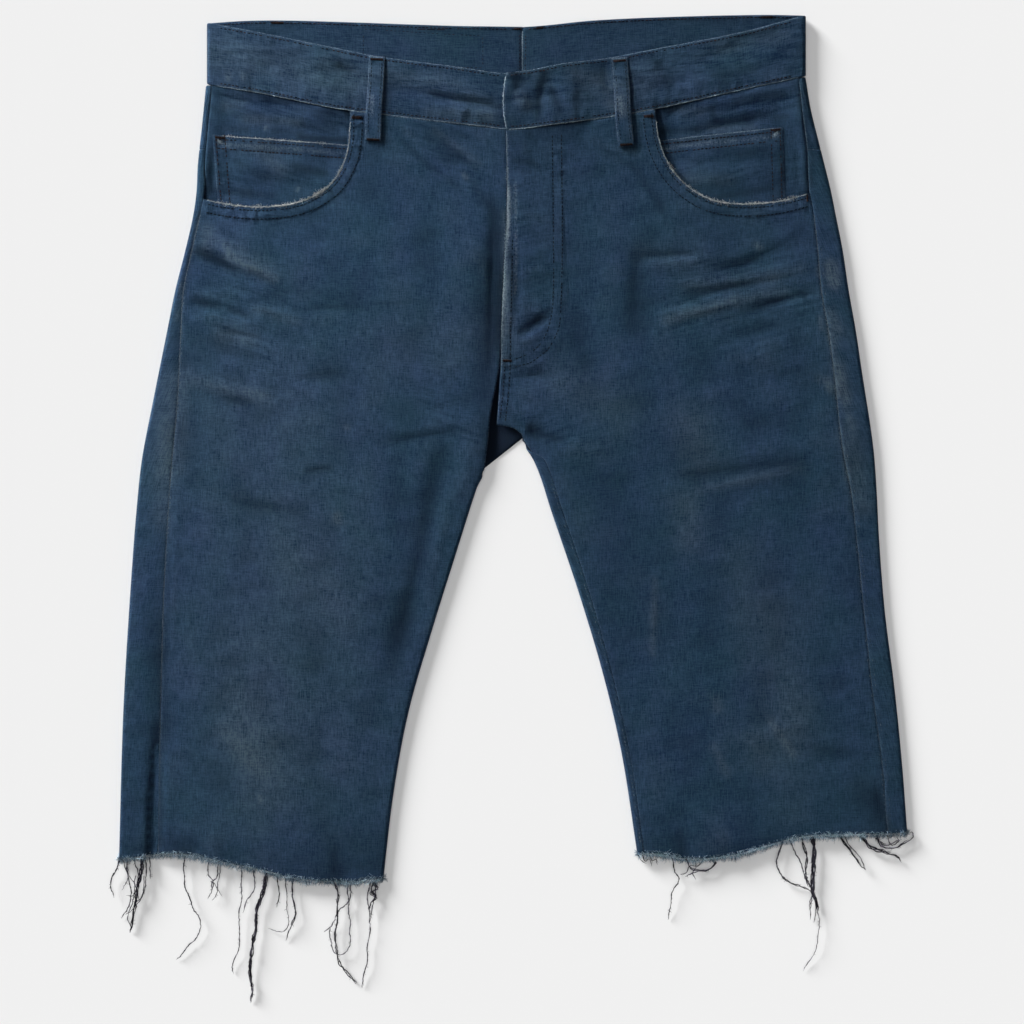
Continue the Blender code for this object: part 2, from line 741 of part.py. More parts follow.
def centre_back(side):
    """p of the centre back seam."""
    return lambda y: CENTRE_BACK * SIGN[side] + SEAM_GAP / 2


def back_inner(side):
    """p of the back's inner edge below the crotch."""

    def read(y):
        _, inner = fold_starts(side, y)
        if side == "right":
            return inner + UNDER_INSEAM + SEAM_GAP
        return inner - inner_run(side, y)

    return read


def outer_lip(side):
    """p of the back's outer edge, the side seam, which shows on the front."""
    return lambda y: fold_starts(side, y)[0] + outer_run(side, y)


def yoke_seam(side, offset):
    def line(p, y):
        share = min(1.0, abs(cloth_point(side, -1, p, y).x) / 215.0)
        return YOKE_AT_CENTRE + (YOKE_AT_SIDE - YOKE_AT_CENTRE) * share + offset

    return cross_seam(side, line, centre_back(side), outer_lip(side), 250.0, BACK_STEP)


def back_waist_seam(side):
    """The top of the yoke, under the waistband's back and then, round the fold, its front."""

    def line(p, y):
        outer, _ = fold_starts(side, y)
        arc = math.pi * fold_radius(y)
        under = BAND_BACK_LINE[side](min(p, outer)) - BAND_HEIGHT
        over = BAND_BOTTOM_LINE[side](min(outer, 2 * outer + arc - p))
        share = smooth_step(outer - 9.0, outer - 3.0, p)
        return under * (1 - share) + over * share - SEAM_GAP

    return cross_seam(side, line, centre_back(side), outer_lip(side), 308.0, BACK_STEP)


def back_yoke(side):
    upper, lower = back_waist_seam(side), yoke_seam(side, SEAM_GAP / 2)
    outline = upper[::-1] + column(centre_back(side), upper[0][1], lower[0][1], CENTRE_STEP)[1:-1] + lower
    outline += column(outer_lip(side), lower[-1][1], upper[-1][1], EDGE_STEP)[1:-1]
    extra = row_points(side, centre_back(side), outer_lip(side), 232.0, 304.0, 14.0)
    layout = lambda p, y: spread(side, p, y)
    return wall(f"back_yoke_{side}", outline, extra, back_place(side), DENIM, "denim", 2.5, layout)


def back_hem(side):
    return hem_seam(side, -1, back_inner(side), outer_lip(side), BACK_HEM_STEP)


def back_panel(side):
    lip, inner = outer_lip(side), back_inner(side)
    upper, hem = yoke_seam(side, -SEAM_GAP / 2), back_hem(side)
    closed = INNER_FOLD_TOP[side] - INNER_ROLL_RUN
    outline = upper[::-1] + column(centre_back(side), upper[0][1], BACK_CROTCH[side][0][1], CENTRE_STEP)[1:-1]
    outline += list(BACK_CROTCH[side])
    outline += column(inner, BACK_CROTCH[side][-1][1] - LEAST_STEP, closed, ROLL_STEP)
    outline += column(inner, closed, hem[0][1], LEG_STEP)[1:-1]
    outline += hem
    outline += column(lip, hem[-1][1], upper[-1][1], LEG_STEP)[1:-1]

    def low(y):
        return inner(y) if y < INNER_FOLD_TOP[side] else centre_back(side)(y)

    extra = row_points(side, low, lip, -262.0, 262.0, BACK_STEP)
    folds = []
    for w, y in thinned(crease_points(side, 22.0), 7.0):
        flat_from = fold_starts(side, y)[0] + math.pi * fold_radius(y)
        p = fold_starts(side, y)[0] + flat_from - w
        if flat_from + 2.0 < p < lip(y) - 2.0:
            folds.append((p, y))
    layout = lambda p, y: spread(side, p, y)
    return wall(f"back_panel_{side}", outline, folds + extra, back_place(side), DENIM, "denim", 2.5, layout)


def mouth_inset(side, w, y):
    """How far a point lies inside the pocket's mouth, less than 0 outside it."""
    line = smooth_line(MOUTH[side], 6.0)
    away = distance_to((w, y), line)
    start, end = MOUTH[side][0], MOUTH[side][-1]
    region = line + [(end[0] + 60.0, end[1]), (end[0] + 60.0, start[1] + 60.0), (start[0], start[1] + 60.0)]
    return away if inside((w, y), region) else -away


def facing_height(side, w, y):
    share = smooth_step(*FACING_RAMP, mouth_inset(side, w, y))
    return FACING_LOW + (FACING_HIGH - FACING_LOW) * share + lift(y)


def outward(line, margin):
    """A line of (w, y) points moved out of the pocket by margin."""
    moved = []
    for i, (w, y) in enumerate(line):
        (w1, y1), (w2, y2) = line[max(0, i - 1)], line[min(len(line) - 1, i + 1)]
        length = math.hypot(w2 - w1, y2 - y1)
        moved.append((w + (y2 - y1) / length * margin, y - (w2 - w1) / length * margin))
    return moved


def facing_points(side):
    """Inner points that the facing and the coin pocket on it share, so that their surfaces run alike."""
    ramp = outward(smooth_line(MOUTH[side], SMALL_STEP), -FACING_RAMP[0])
    grid = [(SMALL_STEP * w, SMALL_STEP * y) for w in range(5, 24) for y in range(14, 34)]
    return thinned(ramp + grid, 0.5 * SMALL_STEP)


def coin_outline(side):
    top = smooth_line(COIN_POCKET[side][:2], SMALL_STEP)
    bottom = smooth_line(COIN_POCKET[side][1:], SMALL_STEP)
    outer = smooth_line([COIN_POCKET[side][-1], COIN_POCKET[side][0]], SMALL_STEP)
    return top + bottom[1:] + outer[1:-1]


def pocket_facing(side):
    """The piece that shows inside the pocket's mouth and runs on under the front panel."""
    seam = lambda y: side_seam(side)(y) - SEAM_GAP
    rim = outward(smooth_line(MOUTH[side], SMALL_STEP), FACING_MARGIN)
    rim = [(w, y) for w, y in rim if y < waist_seam(side, w) - 6.0 and w < seam(y) - 3.0]
    low, high = rim[0][0], meeting(seam, lambda w, y: waist_seam(side, w), 305.0)
    count = round((high[0] - low) / WAIST_STEP)
    across = [high[0] + (low - high[0]) * i / count for i in range(count + 1)]
    outline = [(w, waist_seam(side, w)) for w in across] + rim
    outline += column(seam, rim[-1][1], high[1], SMALL_STEP)[:-1]
    extra = thinned(coin_outline(side) + facing_points(side), 4.0)
    place = lambda w, y: Vector((SIGN[side] * w, y, facing_height(side, w, y)))
    return wall(f"pocket_facing_{side}", outline, extra, place, POCKET_CLOTH, "denim", clear=3.0)


def coin_pocket(side):
    step = POCKET_CLOTH + SEAM_GAP
    place = lambda w, y: Vector((SIGN[side] * w, y, facing_height(side, w, y) + step))
    outline, extra = coin_outline(side), facing_points(side)
    return wall(f"coin_pocket_{side}", outline, extra, place, POCKET_CLOTH, "worn", clear=4.0)


def fly_shield():
    """The strip behind the fly opening, which runs on under the left front."""
    corners = zip(SHIELD_OUTLINE, SHIELD_OUTLINE[1:] + SHIELD_OUTLINE[:1])
    outline = [p for a, b in corners for p in split_edge(a, b, LEG_STEP)]
    extra = [(x, y) for x in (-4.0, 6.0, 16.0, 24.0) for y in range(128, 270, 14)]

    def place(x, y):
        side = "right" if x < -4.0 else "left"
        return Vector((x, y, upper_height(side, SIGN[side] * x, y) - DENIM - SHIELD_GAP))

    return wall("fly_shield", outline, extra, place, DENIM, "denim", clear=3.0)


def split_edge(a, b, step):
    count = max(1, round(math.dist(a, b) / step))
    return [(a[0] + (b[0] - a[0]) * i / count, a[1] + (b[1] - a[1]) * i / count) for i in range(count)]


def band_wave(w, share):
    """Soft waves of the waistband's front."""
    return 0.35 * math.sin(w / 17.0 + 2.2 * share) * smooth_step(0.0, 40.0, 190.0 - w)


def band_columns(side):
    """Stations along one half of the waistband: (layer, w or turn), from the front end round to the centre back."""
    radius = (BAND_OVER - BAND_UNDER) / 2
    outer = BAND_EDGE[side] - BAND_WALL / 2 - radius
    first = -OVERLAP_END if side == "right" else -4.0
    front_count = 21
    found = [("over", first + (outer - first) * i / front_count) for i in range(front_count + 1)]
    found += [("turn", math.pi * k / 5) for k in range(1, 5)]
    back_end = CENTRE_BACK * SIGN[side] + SEAM_GAP / 2
    back_count = 12
    found += [("under", outer + (back_end - outer) * i / back_count) for i in range(back_count + 1)]
    return found, outer, radius


def band_level(side, w, share):
    """Middle of the waistband's front, with the buttoned-over end raised and the end under it sunk."""
    if side == "right":
        return BAND_OVER - 0.6 * smooth_step(24.0, 2.0, w) + band_wave(w, share) * smooth_step(10.0, 40.0, w)
    curl = 0.5 * smooth_step(4.0, -4.0, w) * (1 - 2 * abs(share - 0.5))
    wave = band_wave(w, share) * smooth_step(30.0, 60.0, w)
    return BAND_OVER + OVERLAP_RISE * smooth_step(62.0, 38.0, w) + wave + curl


def band_point(side, kind, value, share, outer, radius):
    if kind == "over":
        y = BAND_BOTTOM_LINE[side](value) * (1 - share) + BAND_TOP_LINE[side](value) * share
        return Vector((SIGN[side] * value, y, band_level(side, value, share)))
    centre = (BAND_OVER + BAND_UNDER) / 2
    back = value if kind == "under" else outer
    top = BAND_BACK_LINE[side](back)
    bottom = BAND_BACK_LINE[side](back) - BAND_HEIGHT
    y_under = bottom * (1 - share) + top * share
    if kind == "under":
        return Vector((SIGN[side] * value, y_under, BAND_UNDER))
    y_over = BAND_BOTTOM_LINE[side](outer) * (1 - share) + BAND_TOP_LINE[side](outer) * share
    part = value / math.pi
    y = y_over * (1 - part) + y_under * part
    return Vector((SIGN[side] * (outer + radius * math.sin(value)), y, centre + radius * math.cos(value)))


def waistband(side):
    """One half of the waistband, a strip from the front round the side to the centre back."""
    columns, outer, radius = band_columns(side)
    across = 5
    grid = [[band_point(side, k, v, j / (across - 1), outer, radius) for j in range(across)] for k, v in columns]
    return strip_wall(f"waistband_{side}", grid, BAND_WALL, "denim")


def strip_wall(name, grid, thickness, fabric):
    """A closed wall on a grid of middle points, offset half its thickness to each side."""
    rows, across = len(grid), len(grid[0])
    normals = []
    for i in range(rows):
        line = []
        for j in range(across):
            along = grid[min(rows - 1, i + 1)][j] - grid[max(0, i - 1)][j]
            aside = grid[i][min(across - 1, j + 1)] - grid[i][max(0, j - 1)]
            line.append(along.cross(aside).normalized())
        normals.append(line)
    points = []
    for way in (0.5, -0.5):
        points += [grid[i][j] + normals[i][j] * thickness * way for i in range(rows) for j in range(across)]
    half = rows * across
    at = lambda i, j: i * across + j
    faces = []
    for i in range(rows - 1):
        for j in range(across - 1):
            quad = (at(i, j), at(i + 1, j), at(i + 1, j + 1), at(i, j + 1))
            faces.append(quad)
            faces.append(tuple(half + k for k in reversed(quad)))
    rim = [at(i, 0) for i in range(rows)] + [at(rows - 1, j) for j in range(1, across)]
    rim += [at(i, across - 1) for i in reversed(range(rows - 1))] + [at(0, j) for j in reversed(range(1, across - 1))]
    for a, b in zip(rim, rim[1:] + rim[:1]):
        faces.append((b, a, half + a, half + b))
    return object_from(name, points, oriented(points, faces), fabric)


def belt_loop(name, top, bottom, heights):
    """A strap from top to bottom (x, y), with its middle at the given heights, evenly spaced."""
    grid = []
    dx, dy = bottom[0] - top[0], bottom[1] - top[1]
    length = math.hypot(dx, dy)
    nx, ny = -dy / length, dx / length
    read = smooth_through([(i / (len(heights) - 1), h) for i, h in enumerate(heights)])
    steps = 10
    for i in range(steps + 1):
        t = i / steps
        row = []
        for aside in (-0.5, 0.0, 0.5):
            x = top[0] + dx * t + nx * LOOP_WIDTH * aside
            y = top[1] + dy * t + ny * LOOP_WIDTH * aside
            row.append(Vector((x, y, read(t))))
        grid.append(row)
    return strip_wall(name, grid, LOOP_WALL, "worn")


def back_belt_loop(name, x, top):
    """A strap that the back waistband lies on, flat on the surface."""
    grid = []
    for i in range(3):
        y = top - BACK_LOOP_LENGTH * i / 2
        grid.append([Vector((x + LOOP_WIDTH * a, y, BACK_LOOP_WALL / 2)) for a in (-0.5, 0.0, 0.5)])
    return strip_wall(name, grid, BACK_LOOP_WALL, "worn")


# Frayed hems


def frayed_strip(name, layer, place, hem, side, threads, seed):
    """The loosened edge below a hem: a narrow strip with tufts and loose threads fused to its outer edge."""
    rng = random.Random(seed)
    edge = [(place(p, y), normal_at(place, p, y) * DENIM / 2) for p, y in hem]
    fine = []
    for (at, normal), (at_next, normal_next) in zip(edge, edge[1:]):
        count = max(1, round((at_next - at).length / (TUFT_SPACING / 2)))
        fine += [(at.lerp(at_next, k / count), normal.lerp(normal_next, k / count)) for k in range(count)]
    fine.append(edge[-1])
    points = []
    for at, normal in fine:
        near, far = at - Vector((0, SEAM_GAP, 0)), at - Vector((0, SEAM_GAP + HEM_STRIP, 0))
        points += [near + normal, near - normal, far - normal, far + normal]
    last = len(fine) - 1
    faces = [(3, 2, 1, 0), tuple(4 * last + k for k in range(4))]
    for i in range(last):
        a, b = 4 * i, 4 * (i + 1)
        faces += [(a, a + 1, b + 1, b), (a + 1, a + 2, b + 2, b + 1), (a + 3, a, b, b + 3)]
    sockets = {i: (4 * i + 2, 4 * i + 3, 4 * i + 7, 4 * i + 6) for i in range(last)}
    level = [i for i in range(last) if abs(fine[i][1].z) > 0.42 * DENIM]
    plans = {}
    for root, width, places in threads:
        free = [i for i in level if i not in plans]
        i = min(free, key=lambda k: abs(abs(middle_of(points, k).x) - root) + wrong_layer(points, k, layer))
        plans[i] = (width, places)
    for i in level[1:-1:2]:
        if all(abs(i - k) > 1 for k in plans):
            root = middle_of(points, i)
            tip = (abs(root.x) + rng.uniform(-1.2, 1.2), root.y - rng.uniform(*TUFT_LENGTH))
            plans[i] = (TUFT_WIDTH, (tip,))
    for i, socket in sockets.items():
        if i in plans:
            width, places = plans[i]
            root = middle_of(points, i)
            route = thread_route(side, root, places) if len(places) > 1 else tuft_route(side, root, places[0])
            sprout(points, faces, socket, route, width)
        else:
            faces.append(socket)
    return object_from(name, points, oriented(points, faces), "fray")


def middle_of(points, i):
    return (points[4 * i + 2] + points[4 * i + 3] + points[4 * i + 6] + points[4 * i + 7]) / 4


def wrong_layer(points, i, layer):
    """A penalty for a place on the strip's other layer, so that a thread hangs from the right one."""
    return 0.0 if (middle_of(points, i).z > 2 * DENIM) == (layer > 0) else 60.0


def tuft_route(side, root, tip):
    sag = 0.25 * (root.y - tip[1]) if root.z > 2 * DENIM else 0.0
    return [root, Vector((SIGN[side] * tip[0], tip[1], root.z - sag))]


def thread_route(side, root, places):
    """Middle points of a loose thread, which comes down to the surface and runs on along it."""
    route = []
    for w, y in smooth_line([(abs(root.x), root.y - ROOT_LENGTH), *places], THREAD_STEP):
        level = root.z + (THREAD_LEVEL - root.z) * smooth_step(0.0, DRAPE_RUN, root.y - y)
        route.append(Vector((SIGN[side] * w, y, level)))
    return route


def sprout(points, faces, socket, route, width):
    """Grows one strand, which tapers along its route, out of a face of the strip."""
    rings = []
    for n, at in enumerate(route):
        size = width * (1.0 - 0.45 * n / (len(route) - 1)) / 2
        along = (route[min(len(route) - 1, n + 1)] - route[max(0, n - 1)]).normalized()
        aside = Vector((0, 0, 1)).cross(along).normalized() * size
        up = along.cross(aside).normalized() * size
        rings.append([at - aside - up, at - aside + up, at + aside + up, at + aside - up])
    if len(rings) == 2:
        rings = rings[1:]
    before = list(socket)
    turns = [[(start + way * k) % 4 for k in range(4)] for start in range(4) for way in (1, -1)]
    for ring in rings:
        first = len(points)
        points.extend(ring)
        turn = min(turns, key=lambda t: sum((ring[m] - points[s]).length for m, s in zip(t, before)))
        after = [first + m for m in turn]
        faces += [(before[k], before[(k + 1) % 4], after[(k + 1) % 4], after[k]) for k in range(4)]
        before = after
    faces.append(tuple(before))


def hem_frays(side):
    shows = side_seam(side)(-240.0) - 2.0
    own = [t for t in THREADS[side] if t[0] < shows]
    rolled = [t for t in THREADS[side] if t[0] >= shows]
    frayed_strip(f"hem_fray_front_{side}", 1, front_place(side), front_hem(side), side, own, 11)
    frayed_strip(f"hem_fray_back_{side}", 1, back_place(side), back_hem(side), side, rolled, 23)


def build():
    for obj in list(bpy.data.objects):
        bpy.data.objects.remove(obj)
    for side in ("right", "left"):
        front_panel(side)
        back_panel(side)
        back_yoke(side)
        pocket_facing(side)
        coin_pocket(side)
        waistband(side)
        hem_frays(side)
    fly_shield()
    for side, (top, bottom) in FRONT_LOOPS.items():
        belt_loop(f"belt_loop_front_{side}", top, bottom, FRONT_LOOP_LEVELS)
    for place, (x, top) in BACK_LOOPS.items():
        back_belt_loop(f"belt_loop_back_{place}", x, top)


build()
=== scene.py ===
import math
import random

import bpy
import numpy as np
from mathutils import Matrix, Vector
from mathutils.geometry import delaunay_2d_cdt


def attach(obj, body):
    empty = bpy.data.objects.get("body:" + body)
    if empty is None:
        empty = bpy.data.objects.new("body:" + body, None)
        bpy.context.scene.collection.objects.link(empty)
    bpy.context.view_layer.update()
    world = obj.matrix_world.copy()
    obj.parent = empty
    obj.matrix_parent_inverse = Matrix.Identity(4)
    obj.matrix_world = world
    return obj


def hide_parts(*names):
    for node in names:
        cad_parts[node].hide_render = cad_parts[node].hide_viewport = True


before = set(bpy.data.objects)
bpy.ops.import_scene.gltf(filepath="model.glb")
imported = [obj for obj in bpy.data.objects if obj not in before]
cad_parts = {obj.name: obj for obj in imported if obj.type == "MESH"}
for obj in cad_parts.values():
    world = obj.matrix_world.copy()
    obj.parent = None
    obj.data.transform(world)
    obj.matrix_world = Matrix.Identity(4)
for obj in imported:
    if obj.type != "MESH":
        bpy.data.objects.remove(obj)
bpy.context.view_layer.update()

# Denim shorts, cut down from jeans and laid on their back. Everything below is in millimetres until a mesh
# is made. w is the distance out from the middle line of the wearer's right (at -x) or left (at +x) side.
mm = 0.001
sign = {"right": -1.0, "left": 1.0}

garment = {
    "denim": 1.2,  # wall of one layer
    "pocketCloth": 1.0,
    "seamGap": 0.2,
    "torsoLevel": 4.8,  # middle of the upper layer above the crotch
    "legLevel": 4.2,
    "loopRoom": 1.4,  # the waist stands this much higher, on the loops under it
    "puff": 0.6,
    "innerFoldTop": {"right": 29.4, "left": 50.0},
    "innerRollRun": 13.0,
    "underInseam": 5.0,
    "centreBack": 7.5,
    "flyRise": 0.9,
    "drawnUp": 0.45,  # how far a front rises to the waistband's edge
    "drawnUpFly": 0.9,
    "hemTrim": 1.2,
    "step": 2.05,  # mesh spacing where the cloth shows
    "backStep": 5.0,  # and where it lies underneath
    "arcSteps": 9,
}

outerLine = {
    "right": (  # y, folded edge, side seam
        (311, 220, 215.4), (275, 223.6, 219), (249.8, 226.4, 221.2), (230.4, 227.4, 221.4),
        (213.8, 229.7, 224.6), (188.6, 235.4, 230.4), (159.8, 242.6, 236.5), (131, 248.4, 238.3),
        (80.6, 258.5, 240.8), (37.4, 266.8, 244.8), (8.6, 270, 247), (-56.2, 275, 250.6),
        (-142.6, 280.1, 253.1), (-252, 283.3, 255.2),
    ),
    "left": (
        (311, 211.7, 206.6), (289.4, 215.3, 208.9), (260.6, 222.5, 212.5), (231.8, 229.7, 214.2),
        (213.8, 233.3, 217.4), (188.6, 238.3, 220.3), (159.8, 242.6, 222.8), (131, 247.7, 228),
        (102.2, 252, 231.8), (44.6, 260.6, 238.3), (15.8, 262.8, 244.1), (-13, 264.2, 247.7),
        (-70.6, 268.6, 253.4), (-128.2, 275.8, 259.6), (-185.8, 281.5, 267.1), (-234.7, 285.1, 271.1),
    ),
}
innerLine = {
    "right": (  # y, inner edge of the leg
        (51.8, 17.3), (33.1, 19.8), (15.8, 25.9), (-27.4, 39.6), (-85, 57.6), (-142.6, 74.2), (-200.2, 85),
        (-268.6, 93.2),
    ),
    "left": (
        (51.8, 8.3), (30.2, 18.7), (1.4, 28.1), (-56.2, 47.5), (-113.8, 64.8), (-171.4, 78.5),
        (-249.1, 90.7),
    ),
}
hemLine = {
    "right": (  # w, y
        (95.8, -265), (116.6, -267.1), (138.2, -266.4), (159.8, -263.9), (180, -258.5), (203, -254.2),
        (224.6, -249.1), (242.6, -247), (255.6, -247.7), (267.8, -249.1), (283.3, -251.3),
    ),
    "left": (
        (90.6, -247.2), (106.2, -247.2), (120.2, -250.1), (134.6, -250.8), (149, -249.3), (163.2, -247.2),
        (177.4, -242.9), (191.5, -238.7), (205.9, -235.2), (220.1, -233.7), (248.4, -233), (277.1, -232.3),
        (285.6, -231.1),
    ),
}
# y, and how far inside the edge the left inseam shows
inseamShows = ((50.0, 8.0), (15.8, 7.9), (-27.4, 7.9), (-142.6, 6.0), (-250.0, 4.9))

# Creases of the upper layer: a ridge is a positive height, a trough a negative one
creases = (  # x1, y1, x2, y2, height, half width
    (-229, 189, -192, 172, -0.9, 5), (-213, 195, -176, 170, 0.8, 5), (-233, 153, -180, 138.5, -0.8, 5.5),
    (-222, 143, -156, 131, 0.6, 7), (-233, 124, -193, 121, -0.6, 6), (-222, 98, -190, 90, -0.5, 7),
    (-65, 272, -22, 249, -0.6, 6), (-52, 76, -22, 84, -0.6, 5), (-24, 62, -40, 0, 0.9, 9),
    (125, 156, 213, 171, -0.5, 5), (130, 144, 214, 174, 0.4, 5), (158, 141, 216, 160, -0.5, 5),
    (143, 173, 196, 191, -0.45, 6), (174, 118, 202, 124, 0.6, 7), (10, 60, 22, 56, -1, 5),
    (20, 52, 78, 40, 0.5, 9), (4, 132, 27, 141, -0.5, 5), (8, 178, 29, 183, -0.5, 5),
    (165, 58, 212, 64, -0.4, 8), (-255, -60, -254, -165, -0.5, 7), (-254, -150, -256, -330, -1.9, 5.5),
    (-262, -190, -262, -330, 0.6, 7), (-196, -150, -170, -330, 0.6, 16), (196, -120, 214, -300, 0.5, 16),
)
fineCreases = (  # the smaller ones, which only the finished cloth has
    (-228, 190, -195, 170, -0.45, 2.6), (-206, 184, -170, 168, 0.35, 2.4),
    (-233, 152, -206, 146, -0.5, 2.6), (-206, 146, -183, 138, -0.45, 2.4), (-188, 150, -150, 136, 0.3, 3),
    (-236, 160, -214, 156, 0.3, 3), (-150, 147, -96, 145, -0.3, 2.6), (-228, 96, -176, 81, 0.35, 3.4),
    (-226, 86, -186, 76, -0.3, 3.4), (-216, 118, -168, 108, -0.3, 4), (-160, 96, -118, 100, -0.22, 3.2),
    (-92, 279, -52, 243, -0.45, 3), (-84, 280, -60, 262, 0.3, 2.6), (-56, 275, -24, 250, 0.35, 2.6),
    (-46, 276, -18, 262, -0.4, 2.4), (-34, 246, -12, 214, -0.3, 3.6), (-30, 200, -13, 150, 0.4, 4.6),
    (-13, 236, -16, 96, -0.5, 3), (-95, 50, -32, 59, -0.3, 3), (-88, 58, -40, 66, 0.2, 4),
    (-148, 30, -131, 32, -0.35, 2), (-196, 6, -153, 1, -0.35, 4), (-226, 8, -182, -6, 0.25, 5),
    (-52, 45, -66, -35, -0.5, 8), (-66, -30, -88, -120, -0.5, 8), (-44, 10, -62, -60, 0.25, 6),
    (-126, -3, -118, -9, 0.3, 2.6), (-208, -157, -179, -187, 0.3, 5), (-240, 60, -246, -140, 0.25, 3),
    (92, 184, 136, 187, -0.5, 3), (92, 176, 146, 183, 0.25, 4), (111, 138, 161, 152, 0.4, 3.2),
    (161, 152, 197, 159, 0.3, 3), (126, 163, 190, 169, 0.3, 3), (150, 171, 208, 198, -0.24, 2.6),
    (112, 166, 200, 186, -0.2, 2.4), (128, 148, 200, 162, -0.16, 2.2), (155, 139, 218, 160, -0.3, 2.4),
    (125, 155, 214, 173, -0.26, 2.4), (196, 166, 219, 150, -0.3, 3), (150, 128, 205, 134, -0.25, 4),
    (150, 112, 190, 108, 0.22, 4.6), (166, 94, 222, 104, -0.28, 4), (60, 263, 96, 244, -0.35, 3.4),
    (84, 254, 118, 204, -0.3, 4), (52, 270, 84, 258, 0.25, 3), (92, 214, 124, 202, 0.25, 4),
    (2, 171, 26, 178, 0.3, 3), (3, 126, 28, 142, -0.55, 3.2), (5, 120, 24, 132, 0.15, 3),
    (0, 255, 20, 250, -0.4, 2.4), (2, 243, 30, 247, -0.35, 2.6), (4, 215, 27, 210, 0.25, 3.6),
    (0, 97, 30, 100, -0.4, 3), (-2, 88, 24, 78, 0.3, 3.4), (-6, 74, 8, 61, -0.3, 2.6),
    (12, 59, 40, 50, -0.5, 3.4), (30, 40, 52, -20, 0.25, 5), (45, 153, 56, 81, -0.25, 8),
    (92, 189, 86, 131, -0.3, 7), (126, 27, 207, 35, -0.26, 4), (135, 16, 207, 31, 0.3, 3.6),
    (103, -49, 101, -102, 0.3, 2), (118, -140, 150, -128, 0.2, 4), (187, -151, 202, -174, 0.3, 2.2),
    (175, -162, 216, -150, 0.22, 4), (200, -168, 262, -176, -0.25, 4.6), (145, -169, 155, -189, 0.25, 2.6),
    (262, -196, 270, -226, -0.5, 4), (120, -225, 124, -262, -0.35, 5), (-128, -234, -124, -280, -0.4, 6),
    (-214, -226, -216, -270, 0.35, 6), (-256, -150, -262.5, -300, -0.8, 3.2),
    (-248, -176, -252, -290, 0.3, 4), (-203, 180, -170, 166, -0.3, 2.2), (-214, 131, -180, 126, -0.3, 2.4),
    (-234, 138, -210, 142, 0.25, 2.8), (-58, 250, -30, 226, -0.3, 3), (-78, 270, -38, 236, 0.25, 3.6),
    (7, 276, 12, 240, 0.2, 3), (9, 147, 28, 143, 0.25, 2.4), (7, 131, 20, 136, 0.12, 2.4),
    (-3, 208, -2, 130, 0.35, 2.6), (4, 205, 4, 128, -0.3, 1.8), (150, -220, 156, -262, 0.3, 6),
)
underCreases = (  # of the lower layer, which only rises off the surface
    (-210, 190, -120, 150, 0.6, 7), (-200, 120, -110, 96, 0.5, 8), (-60, 150, -20, 90, 0.5, 7),
    (-180, -20, -90, -34, 0.55, 8), (-220, -60, -160, -74, 0.4, 7), (-190, -150, -176, -262, 0.5, 10),
    (90, 170, 196, 196, 0.6, 7), (70, 110, 176, 128, 0.5, 8), (30, 90, 70, 50, 0.55, 7),
    (110, -10, 206, -26, 0.5, 8), (150, -90, 214, -84, 0.4, 7), (170, -140, 186, -240, 0.5, 10),
)


def smoothStep(low, high, value):
    t = np.clip((value - low) / (high - low), 0.0, 1.0)
    return t * t * (3.0 - 2.0 * t)


def curveThrough(knots):  # a smooth curve through (at, value), straight beyond its ends
    at, value = np.array(sorted(knots), float).T
    secant = np.diff(value) / np.diff(at)
    slope = np.concatenate([secant[:1], (secant[:-1] + secant[1:]) / 2, secant[-1:]])

    def read(x):
        x = np.asarray(x, float)
        i = np.clip(np.searchsorted(at, x) - 1, 0, len(at) - 2)
        span = at[i + 1] - at[i]
        t = np.clip((x - at[i]) / span, 0.0, 1.0)
        curve = value[i] * (1 + 2 * t) * (1 - t) ** 2 + slope[i] * span * t * (1 - t) ** 2
        curve += value[i + 1] * t * t * (3 - 2 * t) + slope[i + 1] * span * t * t * (t - 1)
        before = np.minimum(x - at[0], 0.0) * slope[0]
        after = np.maximum(x - at[-1], 0.0) * slope[-1]
        return curve + before + after

    return read


def runAlong(line):  # how far along a line each of its points lies
    return np.concatenate([[0.0], np.cumsum(np.linalg.norm(np.diff(line, axis=0), axis=1))])


def unit(vectors):
    return vectors / np.maximum(np.linalg.norm(vectors, axis=-1, keepdims=True), 1e-9)


def pairOf(a, b):  # two coordinates as arrays of one shape
    return np.broadcast_arrays(np.asarray(a, float), np.asarray(b, float))


def draws(draw, count, *limits):
    return np.array([draw(*limits) for _ in range(count)])


def lineThrough(points, step):  # points about step apart on a smooth line through the given ones
    points = np.array(points, float)
    run = runAlong(points)
    at = np.linspace(0.0, run[-1], max(1, round(run[-1] / step)) + 1)
    return np.stack([curveThrough(list(zip(run, column)))(at) for column in points.T], axis=1)


def beside(line, margin):  # a line moved sideways, to its right hand
    line = np.asarray(line, float)
    ahead = unit(np.gradient(line, axis=0))
    return line + np.stack([ahead[:, 1], -ahead[:, 0]], axis=1) * margin


def alongLine(points, line):  # distance from each point to a line, and where along it that is
    a, d = line[:-1], np.diff(line, axis=0)
    length = np.linalg.norm(d, axis=1)
    run = np.concatenate([[0.0], np.cumsum(length)])
    t = ((points[:, None] - a) * d).sum(2) / np.maximum(length ** 2, 1e-9)
    t = np.clip(t, 0.0, 1.0)
    gap = np.linalg.norm(points[:, None] - a - t[..., None] * d, axis=2)
    best = gap.argmin(1)
    rows = np.arange(len(points))
    return gap[rows, best], run[best] + t[rows, best] * length[best]


def awayFrom(points, line):  # distances alone, worked out in parts
    parts = np.array_split(points, max(1, len(points) // 4000))
    return np.concatenate([alongLine(part, line)[0] for part in parts if len(part)] or [np.zeros(0)])


